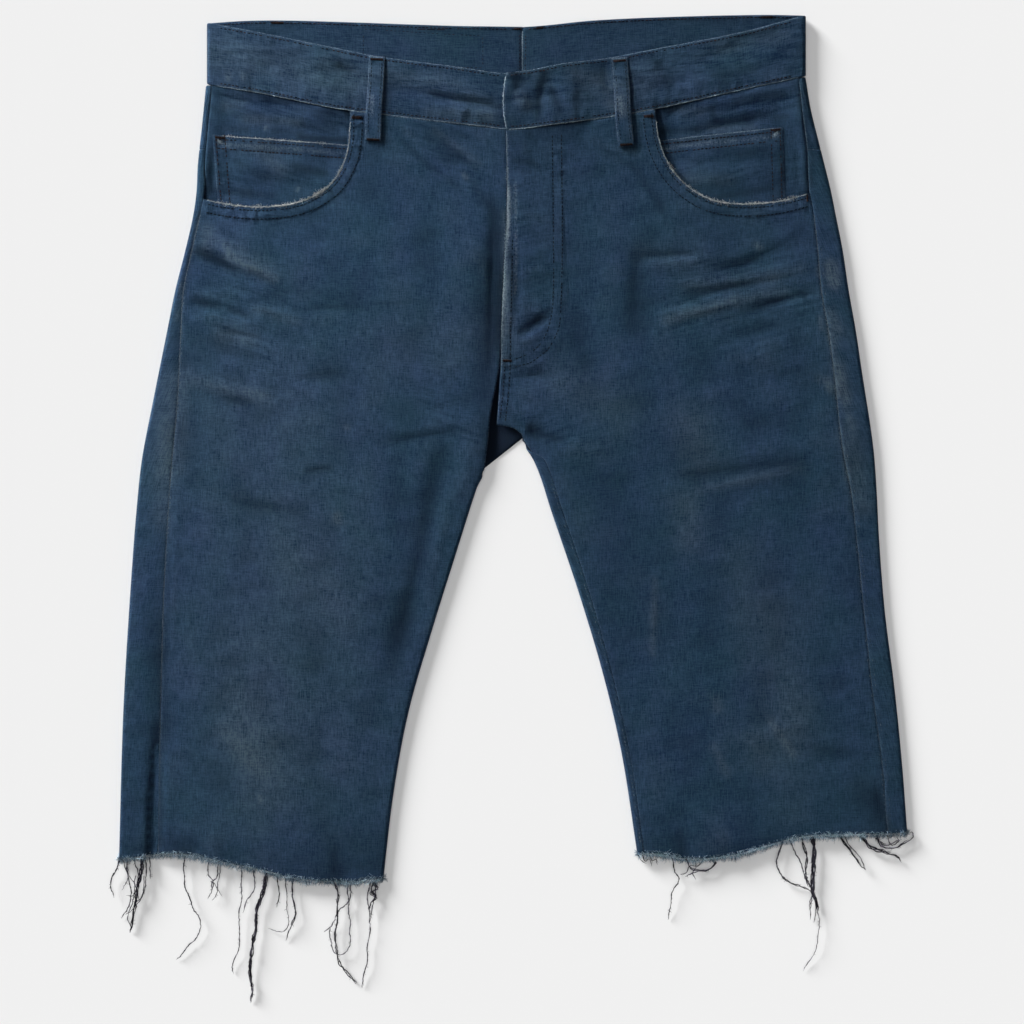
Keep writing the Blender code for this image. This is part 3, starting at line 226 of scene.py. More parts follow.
def nearLine(points, line, reach):  # the same, for points within reach, and infinity for the others
    points, line = np.asarray(points, float), np.asarray(line, float)
    gap, along = np.full(len(points), np.inf), np.zeros(len(points))
    close = ((points > line.min(0) - reach) & (points < line.max(0) + reach)).all(1)
    if close.any():
        gap[close], along[close] = alongLine(points[close], line)
    return gap, along


def insideOf(points, outline):
    x, y = points.T
    hit = np.zeros(len(points), bool)
    for (x1, y1), (x2, y2) in zip(outline, np.roll(outline, -1, axis=0)):
        if y1 != y2:
            hit ^= ((y1 > y) != (y2 > y)) & (x < x1 + (y - y1) / (y2 - y1) * (x2 - x1))
    return hit


edgeAt = {side: curveThrough([(y, edge) for y, edge, _ in outerLine[side]]) for side in sign}
sideSeamAt = {side: curveThrough([(y, seam) for y, _, seam in outerLine[side]]) for side in sign}
innerAt = {side: curveThrough(innerLine[side]) for side in sign}
hemAt = {side: curveThrough(hemLine[side]) for side in sign}
inseamInset = curveThrough(inseamShows)


def lift(y):
    return garment["loopRoom"] * smoothStep(235.0, 284.0, y)


def underLevel(y):
    return garment["denim"] / 2 + lift(y)


def overLevel(y):
    rise = garment["torsoLevel"] - garment["legLevel"]
    return garment["legLevel"] + rise * smoothStep(20.0, 90.0, y) + lift(y)


def foldRadius(y):
    return (overLevel(y) - underLevel(y)) / 2


def closing(side, y):
    top = garment["innerFoldTop"][side]
    return 1.0 - smoothStep(top - garment["innerRollRun"], top, y)


def foldStarts(side, y):
    inset = garment["denim"] / 2 + foldRadius(y)
    inner = innerAt[side](np.minimum(y, innerLine[side][0][0]))
    return edgeAt[side](y) - inset, inner + inset * np.sqrt(closing(side, y))


def creaseHeight(x, y, table):
    total = np.zeros(np.broadcast(x, y).shape)
    for x1, y1, x2, y2, height, width in table:
        dx, dy = x2 - x1, y2 - y1
        t = ((x - x1) * dx + (y - y1) * dy) / (dx * dx + dy * dy)
        on = np.clip(t, 1e-6, 1 - 1e-6)
        away = np.hypot(x - x1 - t * dx, y - y1 - t * dy)
        profile = height * np.sin(np.pi * on) ** 0.7 * np.exp(-((away / width) ** 2))
        total += np.where((t > 0) & (t < 1), profile, 0.0)
    return total


def ripples(seed, count, shortest, longest):  # soft even unevenness from seeded waves
    rng = random.Random(seed)
    waves = []
    for _ in range(count):
        angle = rng.uniform(0, math.pi)
        length = rng.uniform(shortest, longest)
        waves.append((math.cos(angle) / length, math.sin(angle) / length, rng.uniform(0, 2 * math.pi)))

    def read(x, y):
        return sum(np.sin(2 * np.pi * (x * a + y * b) + c) for a, b, c in waves) / math.sqrt(count / 2)

    return read


softRipples = ripples(5, 14, 16.0, 60.0)
smallRipples = ripples(8, 16, 5.0, 14.0)
relief = {  # how strongly each kind of unevenness shows
    "creases": 1.1,
    "fineCreases": 2.4,
    "soft": 0.12,
    "small": 0.055,
    "facingCreases": 1.8,
    "bandCreases": 2.6,
    # crease ridges get a painted highlight as well as paler wear, and crease troughs get painted shade
    "fadeOnRidges": (0.34, 0.3),  # for each mm of height, and at the most
    "darkInTroughs": (-1.2, 0.7),
}


def upperHeight(side, w, y):
    outer, inner = foldStarts(side, y)
    share = np.clip((w - inner) / (outer - inner), 0.0, 1.0)
    calm = (1.0 - smoothStep(262.0, 284.0, y)) * smoothStep(0.0, 9.0, outer - w)
    calm = calm * np.maximum(smoothStep(0.0, 9.0, w - inner), 1.0 - closing(side, y))
    x = sign[side] * w
    shape = garment["puff"] * 4 * share * (1 - share) * (1.0 - smoothStep(20.0, 150.0, y))
    shape = shape + relief["creases"] * creaseHeight(x, y, creases)
    shape = shape + relief["fineCreases"] * creaseHeight(x, y, fineCreases)
    shape = shape + relief["soft"] * softRipples(x, y) + relief["small"] * smallRipples(x, y)
    return overLevel(y) + calm * shape


def underHeight(side, w, y):
    outer, inner = foldStarts(side, y)
    calm = (1.0 - smoothStep(225.0, 250.0, y)) * smoothStep(2.0, 14.0, outer - w)
    calm = calm * smoothStep(2.0, 14.0, w - inner)
    return underLevel(y) + calm * creaseHeight(sign[side] * w, y, underCreases)


def clothPoints(side, layer, p, y):
    # p is w between the folds, and past a fold it counts on along the cloth, round the turn
    p, y = pairOf(p, y)
    radius = foldRadius(y)
    outer, inner = foldStarts(side, y)
    beyond = np.maximum(p - outer, 0.0)
    within = np.where(y < garment["innerFoldTop"][side], np.maximum(inner - p, 0.0), 0.0)
    turn = np.minimum((beyond + within) / radius, np.pi)
    past = np.maximum(beyond + within - np.pi * radius, 0.0)
    w = np.where(beyond > 0, outer + radius * np.sin(turn) - past, p)
    w = np.where(within > 0, inner - radius * np.sin(turn) + past, w)
    arc = (overLevel(y) + underLevel(y)) / 2 + layer * radius * np.cos(turn)
    onTop = (turn == 0.0) if layer > 0 else (turn > 0.0)
    flat = np.where(onTop, upperHeight(side, w, y), underHeight(side, w, y))
    z = np.where((turn > 0.0) & (turn < np.pi), arc, flat)
    return np.stack([sign[side] * w, y, z], axis=-1)


def spreadOut(side, p, y):  # the cloth laid out flat with its folds stretched, where its mesh is worked out
    outer, inner = foldStarts(side, y)
    arc = np.pi * foldRadius(y)
    beyond, within = np.maximum(p - outer, 0.0), np.maximum(inner - p, 0.0)
    between = 200.0 * np.clip((p - inner) / (outer - inner), 0.0, 1.0)
    right = 3.0 * np.minimum(beyond, arc) + np.maximum(beyond - arc, 0.0)
    left = 3.0 * np.minimum(within, arc) + np.maximum(within - arc, 0.0)
    left = np.where(y >= garment["innerFoldTop"][side], within, left)
    return np.stack([between + right - left, y], axis=-1)


# Meshes


def meshObject(name, vertices, faces, material, values=None, cloth=None):
    # values are floats at the vertices for the material, and cloth is each vertex's place on the cut, in mm
    mesh = bpy.data.meshes.new(name)
    mesh.from_pydata((np.asarray(vertices) * mm).tolist(), [], faces)
    for key, value in (values or {}).items():
        mesh.attributes.new(key, "FLOAT", "POINT").data.foreach_set("value", np.asarray(value, np.float32))
    if cloth is not None:
        corner = np.empty(len(mesh.loops), np.int32)
        mesh.loops.foreach_get("vertex_index", corner)
        layer = mesh.uv_layers.new(name="cloth")
        layer.data.foreach_set("uv", (np.asarray(cloth)[corner] * mm).astype(np.float32).ravel())
    mesh.shade_smooth()
    mesh.materials.append(material)
    piece = bpy.data.objects.new(name, mesh)
    bpy.context.scene.collection.objects.link(piece)
    return piece


def meshNormals(points, triangles):
    a, b, c = (points[triangles[:, k]] for k in range(3))
    across = np.cross(b - a, c - a)
    normals = np.zeros_like(points)
    for k in range(3):
        np.add.at(normals, triangles[:, k], across)
    return unit(normals)


def filledOutline(outline, inner, layout):
    points = np.concatenate([outline, inner])
    laid = layout(points[:, 0], points[:, 1])
    rim = [list(range(len(outline)))]
    found = delaunay_2d_cdt([Vector(v) for v in laid.tolist()], [], rim, 1, 1e-5)
    origin = np.array([o[0] for o in found[3]])
    return points[origin], np.array([tuple(f) for f in found[2]]), origin < len(outline)


def clothWall(
    name, outline, inner, surface, thickness, material, layout, shading, rimShare=0.5, bulge=0.22,
):
    # a closed wall of cloth on the mapped sheet, with its cut edge rounded
    outline = np.asarray(outline, float)
    flat, triangles, onRim = filledOutline(outline, inner, layout)
    triangles = triangles[:, :: surface.outside]
    middle = surface.place(flat[:, 0], flat[:, 1])
    normals = meshNormals(middle, triangles)
    count = len(flat)
    half = thickness / 2 * np.where(onRim, rimShare, 1.0)[:, None]
    edges = {(int(f[k - 1]), int(f[k])): True for f in triangles for k in (1, 2, 0)}
    rim = [e for e in edges if (e[1], e[0]) not in edges]
    outward = np.zeros((count, 3))
    for a, b in rim:
        side = np.cross(middle[b] - middle[a], normals[a] + normals[b])
        outward[a] += side
        outward[b] += side
    ring = sorted({a for e in rim for a in e})
    third = {a: 2 * count + k for k, a in enumerate(ring)}
    cutEdge = middle[ring] + unit(outward[ring]) * bulge
    vertices = np.concatenate([middle + normals * half, middle - normals * half, cutEdge])
    faces = triangles.tolist() + [[count + i for i in reversed(f)] for f in triangles.tolist()]
    for a, b in rim:
        faces += [(b, a, third[a], third[b]), (third[b], third[a], count + a, count + b)]
    order = np.concatenate([np.arange(count), np.arange(count), ring])
    body = np.concatenate([np.ones(count), -np.ones(count), np.zeros(len(ring))])
    if shellVolume(vertices, faces) < 0:
        faces = [f[::-1] for f in faces]
    values = {key: value[order] for key, value in shading(flat, middle, onRim).items()}
    values["inward"] = (body < 0).astype(float)
    return meshObject(name, vertices, faces, material, values, flat[order])


def shellVolume(vertices, faces):
    total = 0.0
    for size in (3, 4):
        chosen = np.array([f for f in faces if len(f) == size])
        if len(chosen):
            for k in range(1, size - 1):
                a, b, c = vertices[chosen[:, 0]], vertices[chosen[:, k]], vertices[chosen[:, k + 1]]
                total += (a * np.cross(b, c)).sum()
    return total


def tubes(paths, radii, ringCount):
    # closed tubes round many paths at once: paths (n, k, 3), radii (n, k)
    paths = np.asarray(paths, float)
    n, k, _ = paths.shape
    along = unit(np.gradient(paths, axis=1))
    steep = np.abs(along[..., 2:]) > 0.9
    aside = unit(np.cross(along, np.where(steep, (0.0, 1.0, 0.0), (0.0, 0.0, 1.0))))
    upward = np.cross(aside, along)
    angle = 2 * np.pi * np.arange(ringCount) / ringCount + np.pi / 2
    ring = np.cos(angle)[:, None] * aside[:, :, None] + np.sin(angle)[:, None] * upward[:, :, None]
    vertices = paths[:, :, None] + np.asarray(radii, float)[:, :, None, None] * ring
    index = np.arange(n * k * ringCount).reshape(n, k, ringCount)
    after = np.roll(index, -1, axis=2)
    quads = np.stack([index[:, :-1], index[:, 1:], after[:, 1:], after[:, :-1]], axis=-1)
    caps = np.concatenate([index[:, 0], index[:, -1, ::-1]])
    return vertices.reshape(-1, 3), quads.reshape(-1, 4).tolist() + caps.tolist()


class Bag:  # gathers many small meshes into one object
    def __init__(self):
        self.vertices, self.faces, self.tone, self.count = [], [], [], 0

    def put(self, vertices, faces, tone):
        self.vertices.append(vertices)
        self.faces += [[self.count + i for i in f] for f in faces]
        self.tone.append(np.broadcast_to(tone, len(vertices)))
        self.count += len(vertices)

    def strands(self, paths, radii, sides, tones):  # tubes, with a tone for each point, path or all of them
        vertices, faces = tubes(paths, radii, sides)
        self.put(vertices, faces, np.repeat(tones, len(vertices) // np.size(tones)))

    def made(self, name, material):
        vertices = np.concatenate(self.vertices)
        return meshObject(name, vertices, self.faces, material, {"tone": np.concatenate(self.tone)})


class Surface:  # the middle of a wall, mapped from its cut; outside is -1 where the map turns it over
    def __init__(self, place, outside):
        self.place, self.outside = place, outside

    def over(self, p, y, height):  # points at a height over the middle, and the normals out of the garment
        step = 0.6
        across = self.place(p + step, y) - self.place(p - step, y)
        along = self.place(p, y + step) - self.place(p, y - step)
        normal = unit(np.cross(across, along) * self.outside)
        return self.place(p, y) + normal * height, normal


# Finishes


def addNode(tree, kind, inputs=None, **settings):
    node = tree.nodes.new(kind)
    for key, value in settings.items():
        setattr(node, key, value)
    for key, value in (inputs or {}).items():
        if isinstance(value, bpy.types.NodeSocket):
            tree.links.new(value, node.inputs[key])
        else:
            node.inputs[key].default_value = value
    return node


def reckon(tree, kind, *values, clamp=False):
    inputs = dict(enumerate(values))
    return addNode(tree, "ShaderNodeMath", inputs, operation=kind, use_clamp=clamp).outputs[0]


def sums(tree, *terms):  # the sum of socket times factor
    total = 0.0
    for socket, factor in terms:
        total = reckon(tree, "MULTIPLY_ADD", socket, factor, total)
    return total


def mixed(tree, share, a, b, blend="MIX"):
    node = addNode(tree, "ShaderNodeMix", data_type="RGBA", blend_type=blend)
    for socket, value in zip((node.inputs[0], node.inputs[6], node.inputs[7]), (share, a, b)):
        if isinstance(value, bpy.types.NodeSocket):
            tree.links.new(value, socket)
        else:
            socket.default_value = value
    return node.outputs[2]


def shade(red, green, blue):
    return (red, green, blue, 1.0)


def newFinish(name, roughness, specular=0.2, sheen=0.0):
    finish = bpy.data.materials.new(name)
    finish.use_nodes = True
    shader = finish.node_tree.nodes["Principled BSDF"]
    shader.inputs["Roughness"].default_value = roughness
    shader.inputs["Specular IOR Level"].default_value = specular
    shader.inputs["Sheen Weight"].default_value = sheen
    shader.inputs["Sheen Roughness"].default_value = 0.45
    return finish, finish.node_tree, shader


denimLook = {
    "deep": shade(0.0030, 0.0125, 0.0360),  # hollows of the weave, full of dye
    "high": shade(0.0340, 0.0705, 0.1240),  # crowns of the yarns
    # the faded colour, also used as painted highlight on fold ridges
    "faded": shade(0.0790, 0.1100, 0.1290),
    "teal": shade(0.90, 1.02, 0.90),  # the dye leans this way in places
    "violet": shade(1.07, 0.99, 1.04),  # and this way in others
    "worn": shade(0.2200, 0.2750, 0.3050),
    "trough": shade(0.0035, 0.0085, 0.0170),  # painted shade, for crease troughs and shadows
    # painted shade on the cloth's inner faces, where they show inside the garment
    "inner": shade(0.0100, 0.0175, 0.0330),
    "warp": 1.0,  # strength of the streaks along the warp, and so on
    "weft": 0.76,
    "grain": 0.62,
    "mottle": 0.36,
    "rumple": 1.5,  # fine worn folds, where a piece is rumpled
    "foldTurn": -15.0,  # and their turn from the weft, in degrees
    "cloud": 0.16,
    "twill": 0.14,
    "bump": 0.5,
}


def stretchedNoise(tree, place, across, along, detail=1.0, seed=0.0):
    # noise with features of the given size in mm across and along the warp
    scale = (1 / (across * mm), 1 / (along * mm), 1.0)
    mapping = addNode(tree, "ShaderNodeMapping", {"Vector": place, "Scale": scale})
    mapping.inputs["Location"].default_value = (seed, seed * 1.7, seed * 0.3)
    inputs = {"Vector": mapping.outputs[0], "Scale": 1.0, "Detail": detail, "Roughness": 0.55}
    noise = addNode(tree, "ShaderNodeTexNoise", inputs).outputs[0]
    return reckon(tree, "SUBTRACT", noise, 0.5)


def turnedBy(tree, place, degrees):
    inputs = {"Vector": place, "Rotation": (0.0, 0.0, math.radians(degrees))}
    return addNode(tree, "ShaderNodeMapping", inputs).outputs[0]


def denimFinish(name, look):
    finish, tree, shader = newFinish(name, roughness=0.9, specular=0.04, sheen=0.02)
    place = addNode(tree, "ShaderNodeUVMap", uv_map="cloth").outputs[0]
    warp = stretchedNoise(tree, place, 0.75, 9.0, 2.0, 3.0)
    weft = stretchedNoise(tree, place, 7.0, 0.75, 2.0, 7.0)
    grain = stretchedNoise(tree, place, 1.1, 1.3, 2.0, 11.0)
    mottle = stretchedNoise(tree, place, 9.0, 14.0, 3.0, 17.0)
    cloud = stretchedNoise(tree, place, 55.0, 80.0, 2.0, 23.0)
    twillInputs = {"Vector": turnedBy(tree, place, 58), "Scale": 420.0, "Distortion": 1.2}
    twillInputs.update({"Detail": 1.0, "Detail Scale": 1.5})
    twillWave = addNode(tree, "ShaderNodeTexWave", twillInputs, wave_type="BANDS").outputs[1]
    twill = reckon(tree, "SUBTRACT", twillWave, 0.5)
    strands = {"warp": warp, "weft": weft, "grain": grain, "twill": twill}
    weave = sums(tree, *((socket, look[key]) for key, socket in strands.items()))
    fade, dark, wear, inward, rumpled = (
        addNode(tree, "ShaderNodeAttribute", attribute_name=n).outputs["Fac"]
        for n in ("fade", "dark", "wear", "inward", "rumpled")
    )
    folds = stretchedNoise(tree, turnedBy(tree, place, look["foldTurn"]), 26.0, 3.6, 3.0, 41.0)
    rumple = reckon(tree, "MULTIPLY", folds, rumpled)
    uneven = (mottle, look["mottle"]), (cloud, look["cloud"]), (rumple, look["rumple"])
    depth = sums(tree, (weave, 1.0), *uneven)
    level = reckon(tree, "ADD", depth, 0.5, clamp=True)
    colour = mixed(tree, level, look["deep"], look["high"])
    lean = stretchedNoise(tree, place, 36.0, 50.0, 3.0, 31.0)
    leanShare = reckon(tree, "MULTIPLY_ADD", lean, 2.6, 0.5, clamp=True)
    colour = mixed(tree, 1.0, colour, mixed(tree, leanShare, look["teal"], look["violet"]), "MULTIPLY")
    broken = sums(tree, (weave, 1.9), (mottle, 0.5), (rumple, 0.8))
    fadeWay = reckon(tree, "ADD", broken, 0.6, clamp=True)
    # faded places, and painted highlight on crease ridges
    colour = mixed(tree, reckon(tree, "MULTIPLY", fadeWay, fade, clamp=True), colour, look["faded"])
    # painted shade, mixed towards the trough colour
    colour = mixed(tree, reckon(tree, "MULTIPLY", dark, 0.9, clamp=True), colour, look["trough"])
    # inner faces painted in shade
    colour = mixed(tree, inward, colour, look["inner"])
    brokenWear = sums(tree, (wear, 1.0), (grain, 1.5), (weave, 0.5), (mottle, 0.8))
    colour = mixed(tree, reckon(tree, "MULTIPLY", brokenWear, wear, clamp=True), colour, look["worn"])
    tree.links.new(colour, shader.inputs["Base Color"])
    raised = sums(tree, (weave, 1.0), (rumple, 1.6))
    bumpInputs = {"Strength": look["bump"], "Distance": 0.5 * mm, "Height": raised}
    tree.links.new(addNode(tree, "ShaderNodeBump", bumpInputs).outputs[0], shader.inputs["Normal"])
    rough = sums(tree, (grain, 0.2), (fade, -0.06))
    tree.links.new(reckon(tree, "ADD", rough, 0.88), shader.inputs["Roughness"])
    return finish


def yarnFinish(name, low, high):
    # spun yarn: two shades by each strand's tone, and a fine twist
    finish, tree, shader = newFinish(name, roughness=0.85, specular=0.04, sheen=0.02)
    tone = addNode(tree, "ShaderNodeAttribute", attribute_name="tone").outputs["Fac"]
    place = addNode(tree, "ShaderNodeTexCoord").outputs["Object"]
    noise = addNode(tree, "ShaderNodeTexNoise", {"Vector": place, "Scale": 1500.0, "Detail": 2.0}).outputs[0]
    share = sums(tree, (tone, 1.0), (reckon(tree, "SUBTRACT", noise, 0.5), 0.7))
    share = reckon(tree, "ADD", share, 0.0, clamp=True)
    tree.links.new(mixed(tree, share, low, high), shader.inputs["Base Color"])
    bump = addNode(tree, "ShaderNodeBump", {"Strength": 0.4, "Distance": 0.1 * mm, "Height": noise})
    tree.links.new(bump.outputs[0], shader.inputs["Normal"])
    return finish


overdyedDenim = denimFinish("overdyedDenim", denimLook)
bandDenim = denimFinish("bandDenim", {
    **denimLook,
    "high": shade(0.0330, 0.0670, 0.1140),
    "foldTurn": -97.0,
    "weft": 0.9,
    "mottle": 0.5,
    "rumple": 2.0,
})
pocketDenim = denimFinish("pocketDenim", {
    **denimLook, "weft": 0.66, "warp": 0.8, "mottle": 0.5, "rumple": 1.9,
})
topstitchThread = yarnFinish("topstitchThread", shade(0.0020, 0.0045, 0.0090), shade(0.0100, 0.0170, 0.0270))
bandThread = yarnFinish("bandThread", shade(0.0030, 0.0042, 0.0080), shade(0.0240, 0.0160, 0.0180))
tackThread = yarnFinish("tackThread", shade(0.004, 0.004, 0.006), shade(0.028, 0.018, 0.017))
frayYarn = yarnFinish("frayYarn", shade(0.024, 0.058, 0.104), shade(0.50, 0.65, 0.76))
edgeFibre = yarnFinish("edgeFibre", shade(0.085, 0.115, 0.135), shade(0.52, 0.53, 0.50))
rubbedFibre = yarnFinish("rubbedFibre", shade(0.036, 0.066, 0.100), shade(0.25, 0.32, 0.355))
seamThread = yarnFinish("seamThread", shade(0.018, 0.034, 0.055), shade(0.095, 0.125, 0.145))
looseThread = yarnFinish("looseThread", shade(0.005, 0.005, 0.009), shade(0.075, 0.070, 0.094))
print("finishes made")

# Faded places and painted highlights on fold ridges, then painted shade, each in the same form as the creases
# with an amount in place of a height
fadesAndHighlights = (
    (-205.9, 293, -193.7, 293.8, 0.26, 3.6), (-191.5, 283, -152.6, 280.8, 0.34, 3.2),
    (-181.4, 260.6, -167, 247.7, 0.34, 6), (-205.9, 263.5, -152.6, 260.6, 0.22, 2.2),
    (119.5, 290.2, 135.4, 288.7, 0.26, 3.4), (144, 275.8, 172.8, 276.5, 0.3, 2.6),
    (121, 266.4, 153.4, 269.3, 0.26, 3.4), (121, 240.5, 157, 239, 0.22, 4),
    (226.1, 180, 228.2, 163.4, 0.7, 1), (231.8, 180, 234.7, 164.2, 0.6, 1.8),
    (234.7, 100.8, 237.6, 86.4, 0.5, 2.2), (227.5, 131, 230.4, 119.5, 0.6, 1.6),
    (240.5, 80.6, 243.4, 63.4, 0.4, 2.4), (69.1, 293.8, 82.1, 288, 0.3, 3.6),
    (-220, 204, -221, 189, 0.34, 4.3), (-206, 192, -202, 184, 0.5, 1.8), (-205, 184, -171, 168, 0.46, 3.2),
    (-213, 196, -176, 176, 0.22, 5.8), (-185, 146, -155, 137, 0.22, 2.9), (-209, 127, -189, 125, 0.31, 5.8),
    (-228, 95, -176, 81, 0.25, 5), (-192, 87, -180, 84, 0.31, 2.9), (-245, 95, -249, 30, 0.34, 6.5),
    (-249, 59, -253, -6, 0.31, 5.8), (-235, 102, -238, 30, 0.22, 3.6), (-153, -35, -131, -63, 0.17, 21.6),
    (-208, -157, -179, -187, 0.34, 5.8), (-196, -135, -180, -179, 0.21, 13), (-126, -3, -125, -6, 0.9, 2.5),
    (-181, -205, -181, -208, 0.9, 1.3), (-120, 61, -118, 61, 0.6, 1.4), (-35, 243, -33, 241, 0.8, 1.4),
    (-54, 274, -24, 251, 0.22, 2.9), (-9, 131, -81, 120, 0.13, 21.6), (111, 138, 161, 152, 0.37, 3.6),
    (161, 152, 196, 159, 0.28, 3.6), (126, 163, 188, 169, 0.25, 4.3), (188, 169, 209, 176, 0.19, 3.6),
    (92, 189, 135, 180, 0.15, 7.2), (176, 192, 178, 191, 0.7, 2.2), (229, 178, 232, 163, 0.8, 3.2),
    (229, 144, 235, 131, 0.5, 3.6), (235, 104, 240, 81, 0.6, 4.2), (243, 59, 252, 5, 0.34, 7),
    (128, 63, 135, 41, 0.32, 13), (127, 5, 128, -20, 0.28, 10.1), (35, 95, 78, 73, 0.21, 14.4),
    (103, -49, 101, -102, 0.35, 2.2), (186, -78, 200, -164, 0.24, 17.3), (147, -135, 148, -142, 0.37, 3.6),
    (187, -151, 202, -174, 0.5, 2.5), (145, -169, 155, -189, 0.25, 2.9), (175, -164, 182, -182, 0.25, 8.6),
    (135, 16, 207, 32, 0.19, 3.6), (164, -35, 179, -63, 0.14, 18), (-5, 215, -5, 130, 0.55, 2.6),
    (-6, 168, -6, 112, 0.19, 4),
    (-212, 330, -112, 309, 0.26, 14),  # the waistband
    (60, 305, 100, 309, 0.14, 10), (-30, 300, -14, 285, 0.12, 8), (-175, 60, -152, -160, 0.17, 62),
    (-196, -100, -176, -200, 0.14, 26), (-204.5, 315, -204, 312, 0.6, 1.8),
    (-193.7, 314, -193.4, 311, 0.5, 1.6), (-177.6, 276, -176.4, 277, 0.9, 1.1),
    (-155.2, 232, -154, 233.4, 0.9, 1.1), (-37.4, 318.4, -36, 318.8, 0.8, 1),
    (220.3, 176, 220.6, 171, 0.5, 1.5), (221.8, 140, 222.6, 132, 0.5, 1.4),
    (227.5, 96, 228.6, 88, 0.5, 1.6), (234.7, 92, 235.4, 86, 0.4, 1.8),
    (-238.5, 164, -239.4, 154, 0.75, 0.9), (-240.4, 146, -241.2, 138, 0.5, 0.8),
    (231, 132, 234, 92, 0.35, 2.2), (222, 96, 233, 86, 0.4, 3), (239, 47, 241, 25, 0.4, 1.6),
    (44, 316, 76, 306, 0.26, 5), (5, 299, 10, 293, 0.34, 3.6), (-60, 288, -16, 284, 0.24, 3.4),
    (-96, 316, -40, 308, 0.2, 5), (150, 333, 196, 343, 0.2, 5), (79, 298, 80, 288, 0.55, 2.8),
)
# painted shade: shadows beside raised edges and folds, under the waistband, crease troughs, and a broad shade
# over the wearer's left leg
paintedShades = (
    (-152.6, 270, -121, 267.5, 0.85, 2.6), (-221, 291.6, -208.8, 288, 0.35, 4),
    (-174.2, 291.6, -131, 286.6, 0.34, 3.8), (-204.5, 275.8, -190.8, 275, 0.4, 2.6),
    (-171.4, 274.3, -151.2, 272.9, 0.45, 2.6), (-197.3, 251.3, -175.7, 240.5, 0.36, 3),
    (-217.4, 231.8, -188.6, 231.1, 0.45, 2.8), (-193.7, 229, -172.8, 228.2, 0.5, 2.6),
    (-155.5, 248.4, -135.4, 244.1, 0.55, 3.4), (161.3, 297.4, 194.4, 300.2, 0.45, 4.2),
    (167.8, 283, 196.6, 284.4, 0.5, 3.2), (109.4, 274.3, 132.5, 275.8, 0.6, 3),
    (132.5, 275.8, 146.9, 280.8, 0.6, 3.2), (146.9, 280.8, 171.4, 280.8, 0.62, 2.8),
    (144, 291.6, 145.4, 283.7, 0.4, 3), (162.7, 257, 181.4, 261.4, 0.4, 4.2),
    (193.7, 265.7, 194.4, 231.8, 0.4, 2.2), (146.9, 226.8, 185.8, 233.3, 0.5, 2.6),
    (207.4, 300.2, 211.7, 267.8, 0.45, 3.6), (211, 262.1, 212.4, 227.5, 0.45, 2),
    (-205, 292, -180, 286, 0.3, 3.2), (211, 307, 214.5, 236, 0.45, 2.6), (-216, 262, -218, 232, 0.4, 2.4),
    (-52, 45, -66, -35, 0.3, 8.6), (-66, -35, -86, -114, 0.3, 8.6), (-196, 6, -153, 1, 0.3, 6.5),
    (-148, 30, -131, 32, 0.5, 2.2), (-95, 50, -32, 59, 0.3, 3.6), (-129, -243, -86, -243, 0.35, 21.6),
    (-275, -243, -239, -243, 0.3, 10.1), (-239, -243, -131, -258, 0.2, 10.1),
    (92, -243, 207, -243, 0.25, 14.4), (251, -200, 269, -229, 0.45, 10.1),
    (-248, -40, -249, -161, 0.3, 3.6), (126, 27, 207, 35, 0.4, 5.8), (56, 30, 99, -78, 0.2, 18),
    (-23, 179, -18, 30, 0.4, 8.6), (92, 189, 86, 131, 0.25, 8.6), (45, 153, 56, 81, 0.15, 14.4),
    (-167, 160, -117, 153, 0.2, 7.2), (-257, -165, -262, -250, 0.6, 3), (-260, -205, -262, -252, 0.8, 1.5),
    (-231, 189, -190, 171, 0.62, 1.7), (-190, 173, -172, 165, 0.35, 1.5), (-11, 216, -11, 118, 0.55, 3.4),
    (-15, 190, -14, 112, 0.35, 6), (126, 156, 216, 174, 0.28, 2.6), (155, 140, 216, 160, 0.28, 2.6),
    (-148, 147, -66, 152, 0.3, 1.1), (-56, 275, -26, 247, 0.35, 2), (5, 130, 27, 146, 0.5, 1.8),
    (-9.6, 200, -10.4, 122, 0.6, 5), (-226, 215, -243, 120, 0.35, 3), (-8, 170, -9, 126, 0.45, 2.4),
    (24, 317, 19.6, 304, 0.5, 3.4), (19.6, 304, 19, 282, 0.6, 2.8), (24, 316, 29, 302, 0.52, 3),
    (29, 302, 34, 289, 0.5, 2.6), (0.8, 316, 3, 305, 0.95, 3.8), (2, 314, 8, 310, 0.8, 3.4),
    (66, 316, 66.5, 305, 0.5, 4), (46, 298, 49, 291, 0.24, 3.6), (120, 200, 170, -220, 0.1, 80),
    (30, 300, 36, 284, 0.24, 4), (-56, 300, -9, 292, 0.55, 2.2), (-84, 305, -50, 300, 0.3, 2.6),
    (-31, 290, -29, 283, 0.25, 2.4), (-42, 291, -41, 284, 0.2, 2.4), (-126, 322, -104, 312, 0.3, 3.4),
    (104, 322, 118, 304, 0.24, 4), (160, 332, 172, 318, 0.22, 4), (270.4, -220, 270.6, -230.5, 0.98, 1),
    (5, 166, 27, 171, 0.3, 2.4), (0, 253, 20, 249, 0.3, 1.6), (-131.5, 231.5, -130.5, 230.5, 0.9, 1.5),
    (-8.6, 293.5, -8.2, 291.5, 0.8, 0.8),
)


